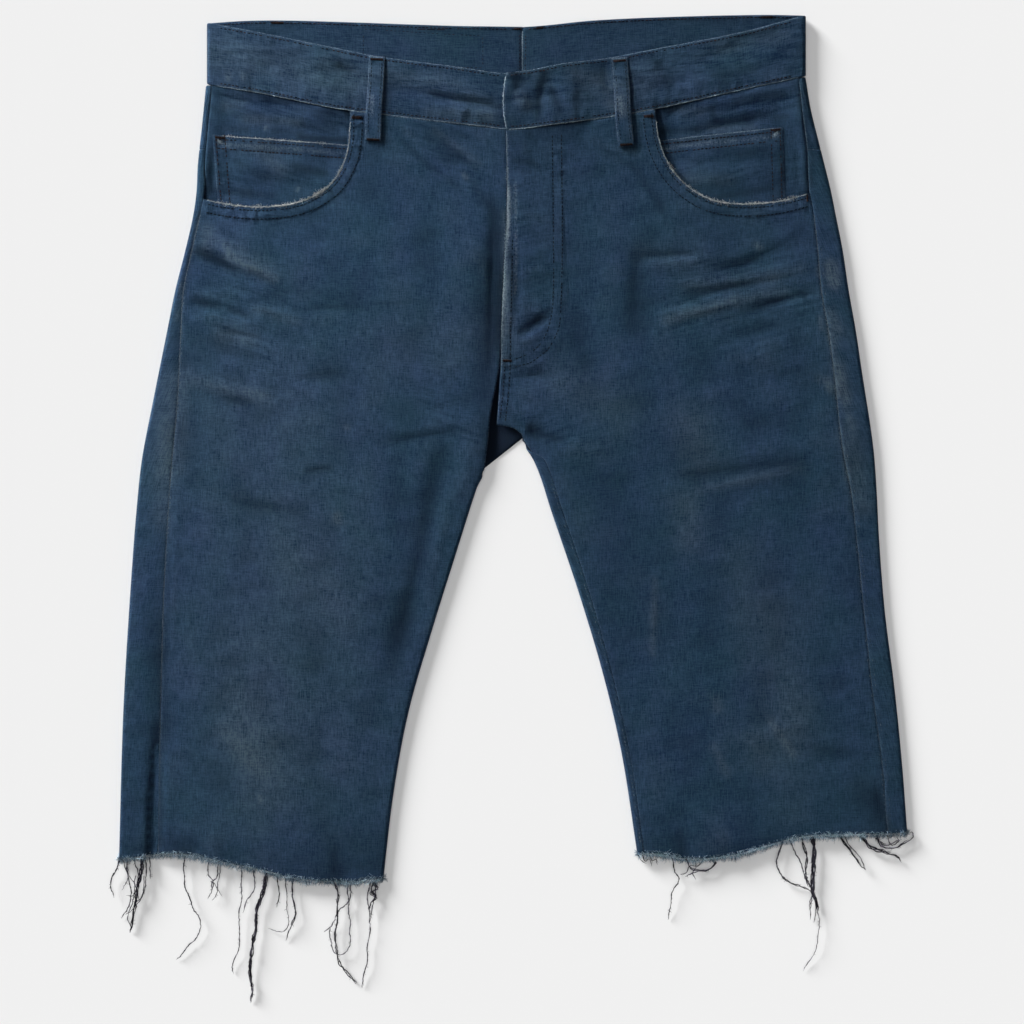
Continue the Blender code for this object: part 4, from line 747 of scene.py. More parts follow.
rumples = (  # where the cloth is rumpled, in the same form
    (-216, 190, -170, 150, 0.9, 20), (-214, 140, -176, 110, 0.7, 16), (-210, 90, -176, 78, 0.6, 12),
    (-60, 268, -28, 240, 0.8, 12), (130, 172, 200, 178, 0.9, 18), (120, 142, 210, 150, 0.9, 16),
    (150, 120, 215, 104, 0.6, 16), (130, 30, 205, 40, 0.6, 16), (6, 240, 24, 120, 0.7, 12),
    (10, 66, 60, 46, 0.8, 12), (-60, 84, -28, 54, 0.7, 12), (-200, 300, -120, 280, 0.9, 14),
    (120, 290, 205, 300, 0.9, 14), (-200, 240, -130, 240, 0.6, 14), (120, 245, 200, 245, 0.7, 14),
    (-200, 335, 0, 298, 0.8, 18), (0, 298, 200, 335, 0.9, 18),
)


def softStrokes(x, y, table, spread=1.0):  # strokes with soft round ends
    total = np.zeros(len(x))
    for x1, y1, x2, y2, amount, width in table:
        dx, dy = x2 - x1, y2 - y1
        t = np.clip(((x - x1) * dx + (y - y1) * dy) / (dx * dx + dy * dy), 0.0, 1.0)
        away = np.hypot(x - x1 - t * dx, y - y1 - t * dy)
        total = 1.0 - (1.0 - total) * (1.0 - amount * np.exp(-((away / (width * spread)) ** 2)))
    return total


def clothShading(edgeWear=0.0, showsAbove=2.0, worn=(), paintedShadeFloor=0.0):
    # worn is a list of (line in p and y, amount, half width), and the last argument the least painted shade that
    # a sheltered piece gets
    def read(flat, middle, onRim):
        x, y, z = middle.T
        seen = z > showsAbove
        wear = np.where(onRim & seen, edgeWear, 0.0)
        for line, amount, width in worn:
            gap, _ = nearLine(flat, line, 4 * width)
            wear = np.maximum(wear, amount * np.exp(-((gap / width) ** 2)))
        height = creaseHeight(x, y, creases) * 0.5 + creaseHeight(x, y, fineCreases)
        height = height + 0.1 * softRipples(x, y)

        def joined(strokes, rate, most):  # strokes, and what the creases add to them
            return np.where(seen, 1.0 - (1.0 - strokes) * (1.0 - np.clip(rate * height, 0.0, most)), 0.0)

        # paler on faded places and, as painted highlight, on crease ridges; painted shade in the shade strokes
        # and crease troughs
        fade = joined(softStrokes(x, y, fadesAndHighlights, 1.15), *relief["fadeOnRidges"])
        dark = joined(softStrokes(x, y, paintedShades), *relief["darkInTroughs"])
        rumpled = np.where(seen, np.maximum(0.22, softStrokes(x, y, rumples)), 0.1)
        return {"fade": fade, "dark": np.maximum(dark, paintedShadeFloor), "wear": wear, "rumpled": rumpled}

    return read


# Seams and stitching: a row is a line in its piece's own p and y

stitching = {
    "length": 1.9,
    "gap": 0.9,
    "width": 0.8,
    "stand": 0.03,  # how far a stitch stands over the cloth
    "groove": 0.24,  # and how deep its row is pulled in
    "grooveWidth": 1.1,
    "pucker": 0.24,
    "puckerReach": 4.2,
}


def rowRelief(rows, p, y):
    # what the rows of stitches do to their cloth: a groove along each, and puckers beside it
    flat = np.stack([np.ravel(p), np.ravel(y)], axis=1)
    total = np.zeros(len(flat))
    for k, row in enumerate(rows):
        gap, along = nearLine(flat, row, 3 * stitching["puckerReach"])
        near = np.isfinite(gap)
        gap = np.where(near, gap, 99.0)
        wave = np.sin(2 * np.pi * along / 7.3 + 1.9 * k + 1.4 * np.sin(along / 13.0 + k))
        total -= stitching["groove"] * np.exp(-((gap / stitching["grooveWidth"]) ** 2))
        total += stitching["pucker"] * wave * np.exp(-((gap / stitching["puckerReach"]) ** 2))
    return total.reshape(np.shape(p))


def rowPoints(rows, step=1.7, offsets=(-1.2, 0.0, 1.2)):
    found = [beside(lineThrough(row, step), offset) for row in rows for offset in offsets]
    return np.concatenate(found) if found else np.zeros((0, 2))


def sewRow(bag, surface, row, height, rng, length=None, gap=None, width=None, missing=0.06, paler=0.0):
    # stitches along a row, each a short tube whose ends dip into the cloth
    length = length or stitching["length"]
    gap = gap or stitching["gap"]
    width = width or stitching["width"]
    line = lineThrough(row, 0.5)
    run = runAlong(line)
    count = int(run[-1] / (length + gap))
    if count < 1:
        return
    starts = (np.arange(count) + 0.5 * (run[-1] / (length + gap) - count)) * (length + gap)
    starts = starts + draws(rng.uniform, count, -0.2, 0.2)
    kept = draws(rng.random, count) > missing
    starts, count = starts[kept], int(kept.sum())
    at = starts[:, None] + length * np.array([0.0, 0.14, 0.5, 0.86, 1.0])
    p, y = (np.interp(at, run, line[:, k]) for k in range(2))
    y = y + draws(rng.uniform, count, -0.07, 0.07)[:, None]
    arch = np.array([-0.30, 0.02, 0.10, 0.02, -0.30]) * width / 0.6
    middle, normal = surface.over(p, y, height + stitching["stand"] * np.sign(height))
    paths = middle + normal * arch[:, None] * np.sign(height)
    radii = np.broadcast_to(np.array([0.26, 0.46, 0.5, 0.46, 0.26]) * width, (count, 5))
    bag.strands(paths, radii, 5, paler + (1.0 - paler) * draws(rng.uniform, count, 0.0, 1.0) ** 1.3)


def barTack(bag, surface, a, b, height, rng, width=2.0):
    # a dense zigzag across the line from a to b
    a, b = np.array(a, float), np.array(b, float)
    ahead = (b - a) / np.linalg.norm(b - a)
    aside = np.array([ahead[1], -ahead[0]])
    count = max(4, round(np.linalg.norm(b - a) / 0.42))
    ends = []
    for k in range(count):
        middle = a + (b - a) * (k + 0.5) / count + ahead * rng.uniform(-0.08, 0.08)
        reach = width / 2 * rng.uniform(0.85, 1.1)
        slant = ahead * 0.2
        ends.append([middle + (aside * reach + slant) * t for t in (-1.0, -0.7, 0.0, 0.7, 1.0)])
    ends = np.array(ends)
    middle, normal = surface.over(ends[..., 0], ends[..., 1], height + 0.3 * np.sign(height))
    arch = np.array([-0.45, -0.05, 0.08, -0.05, -0.45])
    paths = middle + normal * arch[:, None] * np.sign(height)
    bag.strands(paths, np.full(paths.shape[:2], 0.26), 4, draws(rng.uniform, count, 0.2, 1.0))


def edgeRoll(bag, surface, line, height, rng, radius, tones, jitter=0.12):
    # the whipped look of a worn folded edge; tones are (share along the line, tone) pairs
    line = lineThrough(line, 0.65)
    count = len(line)
    line = line + (beside(line, 1.0) - line) * draws(rng.gauss, count, 0.0, jitter)[:, None]
    middle, normal = surface.over(line[:, 0], line[:, 1], height)
    path = middle + normal * draws(rng.gauss, count, 0.0, 0.4 * jitter)[:, None]
    thick = radius * draws(rng.uniform, count, 0.55, 1.15)
    thick[[0, -1]] *= 0.3
    share = np.linspace(0.0, 1.0, count)
    tone = np.interp(share, *zip(*tones)) * draws(rng.uniform, count, 0.35, 1.3)
    bag.strands(path[None], thick[None], 5, tone)


def edgeFuzz(
    bag, surface, line, height, rng, amount, length=(1.0, 2.6), radius=(0.05, 0.11), outward=0.5, swirl=0.5,
):
    # worn fibres that lie along an edge and out from it
    line = lineThrough(line, 0.5)
    run = runAlong(line)
    count = int(run[-1] * amount)
    ahead = unit(np.gradient(line, axis=0))
    paths, radii, tones = [], [], []
    for _ in range(count):
        s = rng.uniform(0.0, run[-1])
        clump = 0.5 + 0.5 * math.sin(s / 5.3 + 2.0 * math.sin(s / 11.0))
        if rng.random() > 0.35 + 0.65 * clump:
            continue
        start = np.array([np.interp(s, run, line[:, k]) for k in range(2)])
        way = np.array([np.interp(s, run, ahead[:, k]) for k in range(2)]) * rng.choice((-1, 1))
        out = np.array([np.interp(s, run, ahead[:, 1]), -np.interp(s, run, ahead[:, 0])])
        size = rng.uniform(*length) * (0.7 + 0.5 * clump)
        heading = math.atan2(way[1], way[0])
        bend = rng.uniform(-swirl, swirl)
        at = start + out * rng.uniform(-0.35, 0.25) * outward
        path = []
        for k in range(5):
            lift = rng.uniform(-0.05, 0.10) + 0.25 * math.sin(math.pi * k / 4) * rng.random()
            path.append((at[0], at[1], lift))
            heading += bend + rng.uniform(-0.35, 0.35)
            at = at + np.array([math.cos(heading), math.sin(heading)]) * size / 4
        paths.append(path)
        radii.append([rng.uniform(*radius)] * 5)
        tones.append(rng.uniform(0.1, 1.0))
    paths = np.array(paths)
    middle, normal = surface.over(paths[..., 0], paths[..., 1], height)
    bag.strands(middle + normal * paths[..., 2:], np.array(radii), 3, tones)


def stationsAt(side, y, low, high, step, shift):
    # p from low to high on one row, with more places round each fold
    outer, inner = (float(v) for v in foldStarts(side, y))
    arc = math.pi * float(foldRadius(y))
    turns = np.linspace(0.0, arc, garment["arcSteps"] + 1)
    stops = list(outer + turns)
    if y < garment["innerFoldTop"][side]:
        stops = list(inner - turns[::-1]) + stops
    stops = np.array([low] + [s for s in stops if low + 0.3 < s < high - 0.3] + [high])
    found = [stops]
    for a, b in zip(stops[:-1], stops[1:]):
        count = round((b - a) / step)
        if count > 1:
            shifted = np.arange(1, count) + shift * (0.5 if count > 4 else 0.0)
            found.append(a + (b - a) * shifted / count)
    return np.concatenate(found)[1:]


def panelPoints(side, lowAt, highAt, bottom, top, step):
    found = []
    count = round((top - bottom) / step)
    for k in range(1, count):
        y = bottom + (top - bottom) * k / count
        p = stationsAt(side, y, float(lowAt(y)), float(highAt(y)), step, k % 2)
        found.append(np.stack([p, np.full(len(p), y)], axis=1))
    return np.concatenate(found)


def insetRing(outline, margin):
    outline = np.asarray(outline, float)
    after = np.roll(outline, -1, axis=0)
    area = (outline[:, 0] * after[:, 1] - after[:, 0] * outline[:, 1]).sum()
    ahead = unit(after - np.roll(outline, 1, axis=0))
    left = np.stack([-ahead[:, 1], ahead[:, 0]], axis=1) * np.sign(area)
    return outline + left * margin


def innerPoints(outline, grid, rows=(), clear=1.5, ring=0.8):
    # the points of a sheet's mesh inside its outline: a ring close to the edge, the stitch rows and the grid
    outline = np.asarray(outline, float)
    closed = np.concatenate([outline, outline[:1]])
    chosen = []
    for points, gap in ((insetRing(outline, ring), 0.6 * ring), (rowPoints(rows), 1.2 * ring), (grid, clear)):
        points = points[insideOf(points, outline)]
        points = points[awayFrom(points, closed) > gap]
        for row in rows if gap == clear else ():
            points = points[nearLine(points, row, 3.0)[0] > 1.9]
        chosen.append(points)
    merged = np.concatenate(chosen)
    _, first = np.unique(np.round(merged / 0.35).astype(int), axis=0, return_index=True)
    return merged[np.sort(first)]


def column(edge, top, bottom, step):
    y = np.linspace(top, bottom, max(1, round(abs(top - bottom) / step)) + 1)
    return np.stack([np.broadcast_to(edge(y), y.shape), y], axis=1)


def meeting(edge, line, y):  # where an edge, given as p over y, meets a cross seam
    for _ in range(6):
        y = float(line(float(edge(y)), y))
    return float(edge(y)), y


def crossSeam(side, line, lowEdge, highEdge, y, step):
    low, high = meeting(lowEdge, line, y), meeting(highEdge, line, y)
    middle = (low[1] + high[1]) / 2
    outerStart = float(foldStarts(side, high[1])[0])
    p = np.sort(stationsAt(side, low[1] if low[1] < middle else middle, low[0], high[0], step, 0))
    p = p[(p > low[0] + 0.3) & (p < high[0] - 0.3) & (p < outerStart)]
    if high[0] > outerStart:
        p = np.concatenate([p, np.arange(outerStart, high[0] - 0.3, 0.7)])
    return np.array([low] + [meeting(lambda _, at=place: at, line, y) for place in p] + [high])


def hemSeam(side, layer, lowEdge, highEdge, step):
    def line(p, y):
        return hemAt[side](abs(clothPoints(side, layer, p, y)[..., 0])) + garment["hemTrim"]

    return crossSeam(side, line, lowEdge, highEdge, -250.0, step)


def dressed(piece, nodes):
    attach(piece, "root")
    if nodes:
        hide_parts(*nodes)
    return piece


# Waistband edges: y over w for the front's two edges and the back's top edge

waistband = {
    "wall": 2.4,
    "over": 6.4,
    "under": 2.5,
    "height": 43.0,
    "edge": {"right": 219.7, "left": 211.6},
    "foldInset": 3.15,  # from that edge to where the strip starts to turn
    "firstEnd": {"right": -34.0, "left": -4.0},  # w of the buttoned-under and the buttoned-over end
    "overlapRise": 2.1,
    "rounding": 1.2,
    "stitchInset": 2.3,
    "insideBox": (107.0, 21.0, 13.0, 40.0),  # fine stitches on the inside: from and to, low and high
    "step": 2.0,
    "top": {
        "right": (
            (-40.0, 317.5), (2.3, 315.6), (42.5, 320.9), (103.0, 329.0), (126.0, 333.8), (181.8, 345.2),
            (218.9, 352.1),
        ),
        "left": (
            (-5.0, 316.0), (3.8, 316.4), (39.6, 323.1), (71.7, 327.2), (103.7, 333.4), (168.1, 346.1),
            (211.2, 357.7),
        ),
    },
    "bottom": {
        "right": (
            (-40.0, 284.0), (-20.0, 280.0), (-4.0, 276.6), (4.5, 275.6), (20.0, 277.2),
            (57.6, 281.5), (90.9, 285.6), (125.8, 289.9), (181.9, 301.2), (220.0, 307.4),
        ),
        "left": (
            (-5.0, 274.6), (3.0, 275.0), (23.5, 277.5), (55.7, 281.9), (103.7, 289.9), (168.1, 304.1),
            (210.2, 313.2),
        ),
    },
    "back": {
        "right": (
            (-8.0, 349.6), (43.9, 350.4), (126.0, 353.2), (163.7, 354.2), (194.0, 353.8), (218.9, 352.1),
        ),
        "left": (
            (6.5, 349.3), (23.5, 350.6), (55.4, 353.9), (87.8, 355.8), (136.1, 357.4), (184.3, 358.2),
            (211.2, 357.7),
        ),
    },
}
bandTopAt = {side: curveThrough(waistband["top"][side]) for side in sign}
bandBottomAt = {side: curveThrough(waistband["bottom"][side]) for side in sign}
bandBackAt = {side: curveThrough(waistband["back"][side]) for side in sign}


def waistSeam(side, w):
    return bandBottomAt[side](w) - garment["seamGap"]


# Front panels

frontPanel = {
    "flyEdge": {
        "right": (  # y, w
            (276, 4.2), (212, 3.6), (173, 5.6), (142, 7.2), (111, 8.4), (91.4, 11.5), (77, 14.4),
            (65.5, 16.2), (51.8, 17.3), (33.1, 19.8),
        ),
        "left": (
            (277, -4.05), (212, -3.4), (173, -5.45), (142, -7.05), (111, -7.7), (80.6, -9.4), (62.6, -10.8),
        ),
    },
    "leftCrotch": ((-10.8, 62.6), (-5.0, 61.9), (1.4, 60.3), (6.6, 56.6)),  # w, y
    "mouth": {
        "right": (  # w, y of the pocket's mouth
            (116.4, 288.6), (117, 268), (120.2, 253.4), (129.6, 237), (145.4, 226.1), (159.8, 221.6),
            (180, 219.6), (195.8, 220.3), (213.8, 223.2), (221.6, 225),
        ),
        "left": (
            (103, 289.5), (104.4, 275), (108, 260.6), (116.6, 244.8), (128.2, 233.3), (144, 224.8),
            (164.2, 221.8), (189.4, 223.2), (214.6, 229.2),
        ),
    },
    "mouthRows": (2.7, 8.6),  # distance of the two stitch rows from the mouth
    "mouthBand": 0.42,  # the turned-in edge makes the mouth this much thicker
    "flyRows": (  # x, y of the two curved rows that hold the fly
        (
            (29.0, 272.0), (29.8, 200.0), (29.4, 150.0), (27.6, 137.1), (24.7, 128.4), (19.7, 120.2),
            (15.2, 116.0), (7.3, 111.9), (0.7, 109.4),
        ),
        (
            (35.5, 272.0), (36.2, 200.0), (35.0, 144.0), (33.8, 133.0), (30.5, 124.7), (25.5, 116.9),
            (20.1, 112.3), (13.1, 107.4), (7.3, 105.7), (0.7, 104.0),
        ),
    ),
    "centreRow": ((0.3, 196.0), (-0.4, 160.0), (-1.0, 132.0), (-1.2, 108.0), (-2.4, 86.0), (-5.0, 64.5)),
    "centreRowLow": ((-5.2, 106.0), (-6.4, 86.0), (-8.8, 66.0)),
    "flyPatch": 0.35,  # the doubled cloth of the fly stands this much higher
    "seamDip": 0.1,
    "hemFlutter": 0.28,
}
flyEdgeAt = {side: curveThrough(frontPanel["flyEdge"][side]) for side in sign}
mouthLine = {side: lineThrough(frontPanel["mouth"][side], 2.0) for side in sign}


def sideSeamOf(side):
    return lambda y: sideSeamAt[side](y) - garment["seamGap"] / 2


def innerRun(side, y):
    whole = np.pi * foldRadius(y)
    if side == "right":
        whole = whole + garment["underInseam"]
    else:
        whole = whole + np.maximum(0.0, inseamInset(y) - garment["denim"] / 2 - foldRadius(y))
    return whole * closing(side, y)


def outerRun(side, y):
    outer, _ = foldStarts(side, y)
    return np.pi * foldRadius(y) + np.maximum(0.5, outer - sideSeamAt[side](y)) - garment["seamGap"] / 2


def frontInner(side):
    def read(y):
        _, inner = foldStarts(side, y)
        if side == "right":
            return inner - innerRun(side, y)
        return inner + garment["seamGap"] + np.maximum(0.0, innerRun(side, y) - np.pi * foldRadius(y))

    return read


def frontRows(side):
    near, far = (beside(mouthLine[side], d) for d in frontPanel["mouthRows"])
    inPanel = [line[line[:, 0] < sideSeamAt[side](line[:, 1]) - 1.0] for line in (near, far)]
    rows = [line[line[:, 1] < waistSeam(side, line[:, 0]) - 1.0] for line in inPanel]
    if side == "left":
        rows += [np.array(row, float) for row in frontPanel["flyRows"]]
        rows += [np.array(frontPanel["centreRow"], float), np.array(frontPanel["centreRowLow"], float)]
    return rows


frontRowsOf = {side: frontRows(side) for side in sign}


def frontPlace(side):
    rows = frontRowsOf[side]

    def place(p, y):
        point = clothPoints(side, 1, p, y)
        w, y = np.asarray(p, float), np.asarray(y, float)
        flat = np.stack([np.ravel(w), np.ravel(y)], axis=1)
        mouth = nearLine(flat, mouthLine[side], 14.0)[0].reshape(w.shape)
        mouth = np.where(np.isfinite(mouth), mouth, 99.0)
        band = frontPanel["mouthBand"] * (1.0 - smoothStep(8.0, 10.0, mouth))
        inner = foldStarts(side, y)[1]
        onTop = smoothStep(-2.0, 2.0, w - inner) + (y > garment["innerFoldTop"][side])
        near = np.exp(-(((waistSeam(side, w) - y) / 9.0) ** 2)) * (y > 240.0)
        raised = band + rowRelief(rows, w, y) + garment["drawnUp"] * near
        if side == "left":
            fly = (1.0 - smoothStep(4.0, 26.0, w)) * smoothStep(84.0, 120.0, y)
            drawnUp = garment["drawnUpFly"] * near * (1.0 - smoothStep(34.0, 60.0, w))
            raised = raised + garment["flyRise"] * fly + drawnUp
            corner = np.hypot(np.maximum(w - 10.0, 0.0), np.minimum(y - 131.0, 0.0))
            inPatch = (1.0 - smoothStep(26.2, 28.0, corner)) * (y > 90.0)
            raised = raised + frontPanel["flyPatch"] * inPatch
        seam = sideSeamAt[side](y) - w
        dip = frontPanel["seamDip"] * np.exp(-((seam / 1.1) ** 2))
        raised = raised - dip * (y < mouthLine[side][-1][1] + 2.0)
        hem = y - hemAt[side](np.abs(point[..., 0]))
        flutter = np.sin(w / 4.1 + 1.7 * np.sin(w / 13.0)) * np.exp(-((hem / 9.0) ** 2))
        raised = raised + frontPanel["hemFlutter"] * flutter * smoothStep(4.0, 14.0, w - inner)
        point[..., 2] += raised * np.clip(onTop, 0.0, 1.0)
        return point

    return place


def frontOutline(side):
    seam, inner, step = sideSeamOf(side), frontInner(side), garment["step"]
    start = frontPanel["mouth"][side][0][0]
    middle = meeting(flyEdgeAt[side], lambda w, y: waistSeam(side, w), 275.0)
    across = np.linspace(start, middle[0], round((start - middle[0]) / step) + 1)[:-1]
    parts = [np.stack([across, waistSeam(side, across)], axis=1)]
    hem = hemSeam(side, 1, inner, seam, step)
    closed = garment["innerFoldTop"][side] - garment["innerRollRun"]
    if side == "right":
        foldTop = garment["innerFoldTop"][side]
        parts.append(column(flyEdgeAt[side], middle[1], foldTop + 1.2, step))
    else:
        foldTop = frontPanel["leftCrotch"][-1][1] - 6.0
        parts.append(column(flyEdgeAt[side], middle[1], frontPanel["leftCrotch"][0][1], step)[:-1])
        parts.append(lineThrough(frontPanel["leftCrotch"], step))
    parts.append(column(inner, foldTop, closed, 1.1))
    parts.append(column(inner, closed, hem[0][1], step)[1:-1])
    parts.append(hem)
    parts.append(column(seam, hem[-1][1], frontPanel["mouth"][side][-1][1], step)[1:])
    mouth = mouthLine[side][-2:0:-1].copy()
    mouth[:, 0] = np.minimum(mouth[:, 0], seam(mouth[:, 1]))
    parts.append(mouth)
    return np.concatenate(parts)


def makePanel(name, node, side, outline, points, surface, shading):
    layout = lambda p, y: spreadOut(side, p, y)
    wall = garment["denim"]
    piece = clothWall(f"{name}_{side}", outline, points, surface, wall, overdyedDenim, layout, shading)
    return dressed(piece, [f"{node}_{side}"])


def makeFront(side):
    outline = frontOutline(side)
    inner, seam = frontInner(side), sideSeamOf(side)
    foldTop = garment["innerFoldTop"][side] if side == "right" else frontPanel["leftCrotch"][-1][1] - 6.0

    def low(y):
        return inner(y) if y < foldTop else flyEdgeAt[side](y)

    grid = panelPoints(side, low, seam, -268.0, 292.0, garment["step"])
    points = innerPoints(outline, grid, frontRowsOf[side], 1.3)
    worn = [(mouthLine[side], 0.2, 0.6)]
    if side == "left":
        edge = column(flyEdgeAt[side], 270.0, 106.0, 4.0)
        rubbed = edge[(edge[:, 1] < 236.0) & (edge[:, 1] > 196.0)]
        lower = edge[(edge[:, 1] < 168.0) & (edge[:, 1] > 140.0)]
        worn += [(edge, 0.38, 1.4), (rubbed, 0.86, 2.4), (lower, 0.66, 2.0)]
        worn.append((np.array([(2.4, 236.0), (3.0, 200.0), (2.0, 156.0)]), 0.42, 1.3))
    worn.append((column(seam, 215.0, -230.0, 6.0), 0.12, 1.5))
    surface = Surface(frontPlace(side), int(sign[side]))
    shading = clothShading(0.24, 2.0, worn)
    return makePanel("frontPanel", "front_panel", side, outline, points, surface, shading), surface


# Back panels and yokes

backPanel = {
    "yokeAtSide": 261.0,
    "yokeAtCentre": 226.0,
    "crotch": {
        "right": ((-7.3, 53.3), (7.0, 42.0), (21.9, 30.2), (25.3, 29.8)),
        "left": ((7.7, 51.4), (8.6, 50.6)),
    },
}


def centreBackOf(side):
    return lambda y: garment["centreBack"] * sign[side] + garment["seamGap"] / 2 + 0.0 * y


def backInner(side):
    def read(y):
        _, inner = foldStarts(side, y)
        if side == "right":
            return inner + garment["underInseam"] + garment["seamGap"]
        return inner - innerRun(side, y)

    return read


def outerLip(side):
    return lambda y: foldStarts(side, y)[0] + outerRun(side, y)


def backRows(side):
    if side == "right":
        return []
    inner = backInner(side)
    return [column(lambda y: inner(y) + 1.6, 26.0, -242.0, 6.0)]


def backPlace(side, rows):
    lip, inner = outerLip(side), backInner(side)

    def place(p, y):
        p, y = pairOf(p, y)
        point = clothPoints(side, -1, p, y)
        flatFrom = foldStarts(side, y)[0] + np.pi * foldRadius(y)
        onFront = smoothStep(-1.0, 2.0, p - flatFrom)
        raised = rowRelief(rows, p, y) * onFront
        lipRise = -0.12 if side == "right" else 0.08
        raised = raised + lipRise * np.exp(-(((lip(y) - p - 1.4) / 1.6) ** 2)) * onFront
        if side == "left":
            innerFlat = foldStarts(side, y)[1] - np.pi * foldRadius(y)
            onInner = smoothStep(0.0, 1.5, innerFlat - p) * (y < garment["innerFoldTop"][side])
            lipRise = 0.25 * np.exp(-(((p - inner(y)) / 1.4) ** 2))
            raised = raised + onInner * (rowRelief(rows, p, y) + lipRise)
        point[..., 2] += raised
        return point

    return place


def yokeSeam(side, offset, step):
    def line(p, y):
        share = np.minimum(1.0, abs(clothPoints(side, -1, p, y)[..., 0]) / 215.0)
        rise = backPanel["yokeAtSide"] - backPanel["yokeAtCentre"]
        return backPanel["yokeAtCentre"] + rise * share + offset

    return crossSeam(side, line, centreBackOf(side), outerLip(side), 250.0, step)


def backWaistSeam(side, step):
    def line(p, y):
        outer = float(foldStarts(side, y)[0])
        arc = math.pi * float(foldRadius(y))
        under = bandBackAt[side](min(p, outer)) - waistband["height"]
        over = bandBottomAt[side](min(outer, 2 * outer + arc - p))
        share = smoothStep(outer - 9.0, outer - 3.0, p)
        return under * (1 - share) + over * share - garment["seamGap"]

    return crossSeam(side, line, centreBackOf(side), outerLip(side), 308.0, step)


def makeYoke(side):
    step = 4.0
    upper, lower = backWaistSeam(side, step), yokeSeam(side, garment["seamGap"] / 2, step)
    lip = outerLip(side)
    outline = np.concatenate([
        upper[::-1],
        column(centreBackOf(side), upper[0][1], lower[0][1], step)[1:-1],
        lower,
        column(lip, lower[-1][1], upper[-1][1], 2.0)[1:-1],
    ])
    surface = Surface(backPlace(side, ()), -int(sign[side]))
    points = innerPoints(outline, panelPoints(side, centreBackOf(side), lip, 226.0, 312.0, step), (), 1.3)
    return makePanel("backYoke", "back_yoke", side, outline, points, surface, clothShading(0.3, 2.6)), surface


def makeBack(side):
    step = garment["backStep"]
    lip, inner = outerLip(side), backInner(side)
    upper = yokeSeam(side, -garment["seamGap"] / 2, step)
    hem = hemSeam(side, -1, inner, lip, 2.5)
    closed = garment["innerFoldTop"][side] - garment["innerRollRun"]
    crotch = np.array(backPanel["crotch"][side])
    outline = np.concatenate([
        upper[::-1],
        column(centreBackOf(side), upper[0][1], crotch[0][1], step)[1:-1],
        crotch,
        column(inner, crotch[-1][1] - 0.6, closed, 1.1),
        column(inner, closed, hem[0][1], 2.5)[1:-1],
        hem,
        column(lip, hem[-1][1], upper[-1][1], 2.5)[1:-1],
    ])
    rows = backRows(side)
    surface = Surface(backPlace(side, rows), -int(sign[side]))

    def low(y):
        return inner(y) if y < garment["innerFoldTop"][side] else centreBackOf(side)(y)

    grid = panelPoints(side, low, lip, -268.0, 262.0, 3.4)
    under = grid[:, 0] < foldStarts(side, grid[:, 1])[0] - 6.0
    coarse = panelPoints(side, low, lip, -268.0, 262.0, step)
    coarseUnder = coarse[:, 0] < foldStarts(side, coarse[:, 1])[0] - 6.0
    nearInner = grid[:, 0] < foldStarts(side, grid[:, 1])[1] + 4.0
    grid = np.concatenate([grid[~under | (nearInner & (grid[:, 1] < 60.0))], coarse[coarseUnder]])
    points = innerPoints(outline, grid, rows, 1.3)
    shading = clothShading(0.2, 2.6, [(column(lip, 215.0, -230.0, 6.0), 0.12, 1.1)])
    return makePanel("backPanel", "back_panel", side, outline, points, surface, shading), surface, rows


# Front pockets: the facing that shows inside the mouth, and the coin pocket on it

frontPocket = {
    "facingMargin": 14.0,
    "facingLow": 2.1,
    "facingHigh": 3.7,
    "ramp": (5.0, 28.0),
    "seamRise": 1.2,
    "bandRise": 1.5,
    "coinCloth": 0.5,
    "step": 2.2,
    "coinCorners": {
        "right": (
            (215.2, 271.2), (110.5, 263.6), (113.0, 244.0), (126.0, 224.0), (152.0, 211.5), (182.0, 209.5),
            (211.0, 213.5),
        ),
        "left": (
            (194.8, 276.8), (97.0, 266.4), (100.5, 246.0), (116.0, 226.0), (142.0, 213.5), (170.0, 211.0),
            (197.0, 213.0),
        ),
    },
    "coinRows": (2.6, 9.2),  # the two rows along the coin pocket's top, down from its edge
    "coinSideRows": (2.0, 8.4),
    "creases": (  # x1, y1, x2, y2, height, half width
        (-214, 300, -140, 290, -0.9, 5), (-206, 291, -168, 283, 0.5, 4), (-180, 296, -150, 294, -0.7, 3.4),
        (-165, 278, -120, 270, -0.8, 4.4), (-216, 262, -216, 226, -0.6, 2.6),
        (-150, 258, -122, 250, -0.4, 5), (-180, 240, -140, 236, -0.3, 6), (-200, 246, -160, 250, 0.3, 6),
        (108, 282, 126, 296, -0.7, 3.6), (126, 272, 196, 288, -0.6, 4), (130, 290, 206, 306, 0.4, 4.6),
        (150, 283, 190, 293, 0.3, 3), (205, 276, 207, 232, -0.5, 2.6), (120, 248, 170, 256, -0.35, 5),
        (140, 238, 190, 242, 0.25, 6), (-212, 288, -176, 276, -0.4, 3), (-200, 262, -150, 256, -0.3, 3.4),
        (-146, 290, -122, 280, 0.4, 3.4), (-190, 228, -150, 226, 0.3, 3), (136, 300, 176, 304, -0.35, 3),
        (112, 262, 140, 266, -0.3, 3), (150, 264, 200, 262, 0.3, 4), (176, 252, 204, 248, -0.3, 3.4),
    ),
}


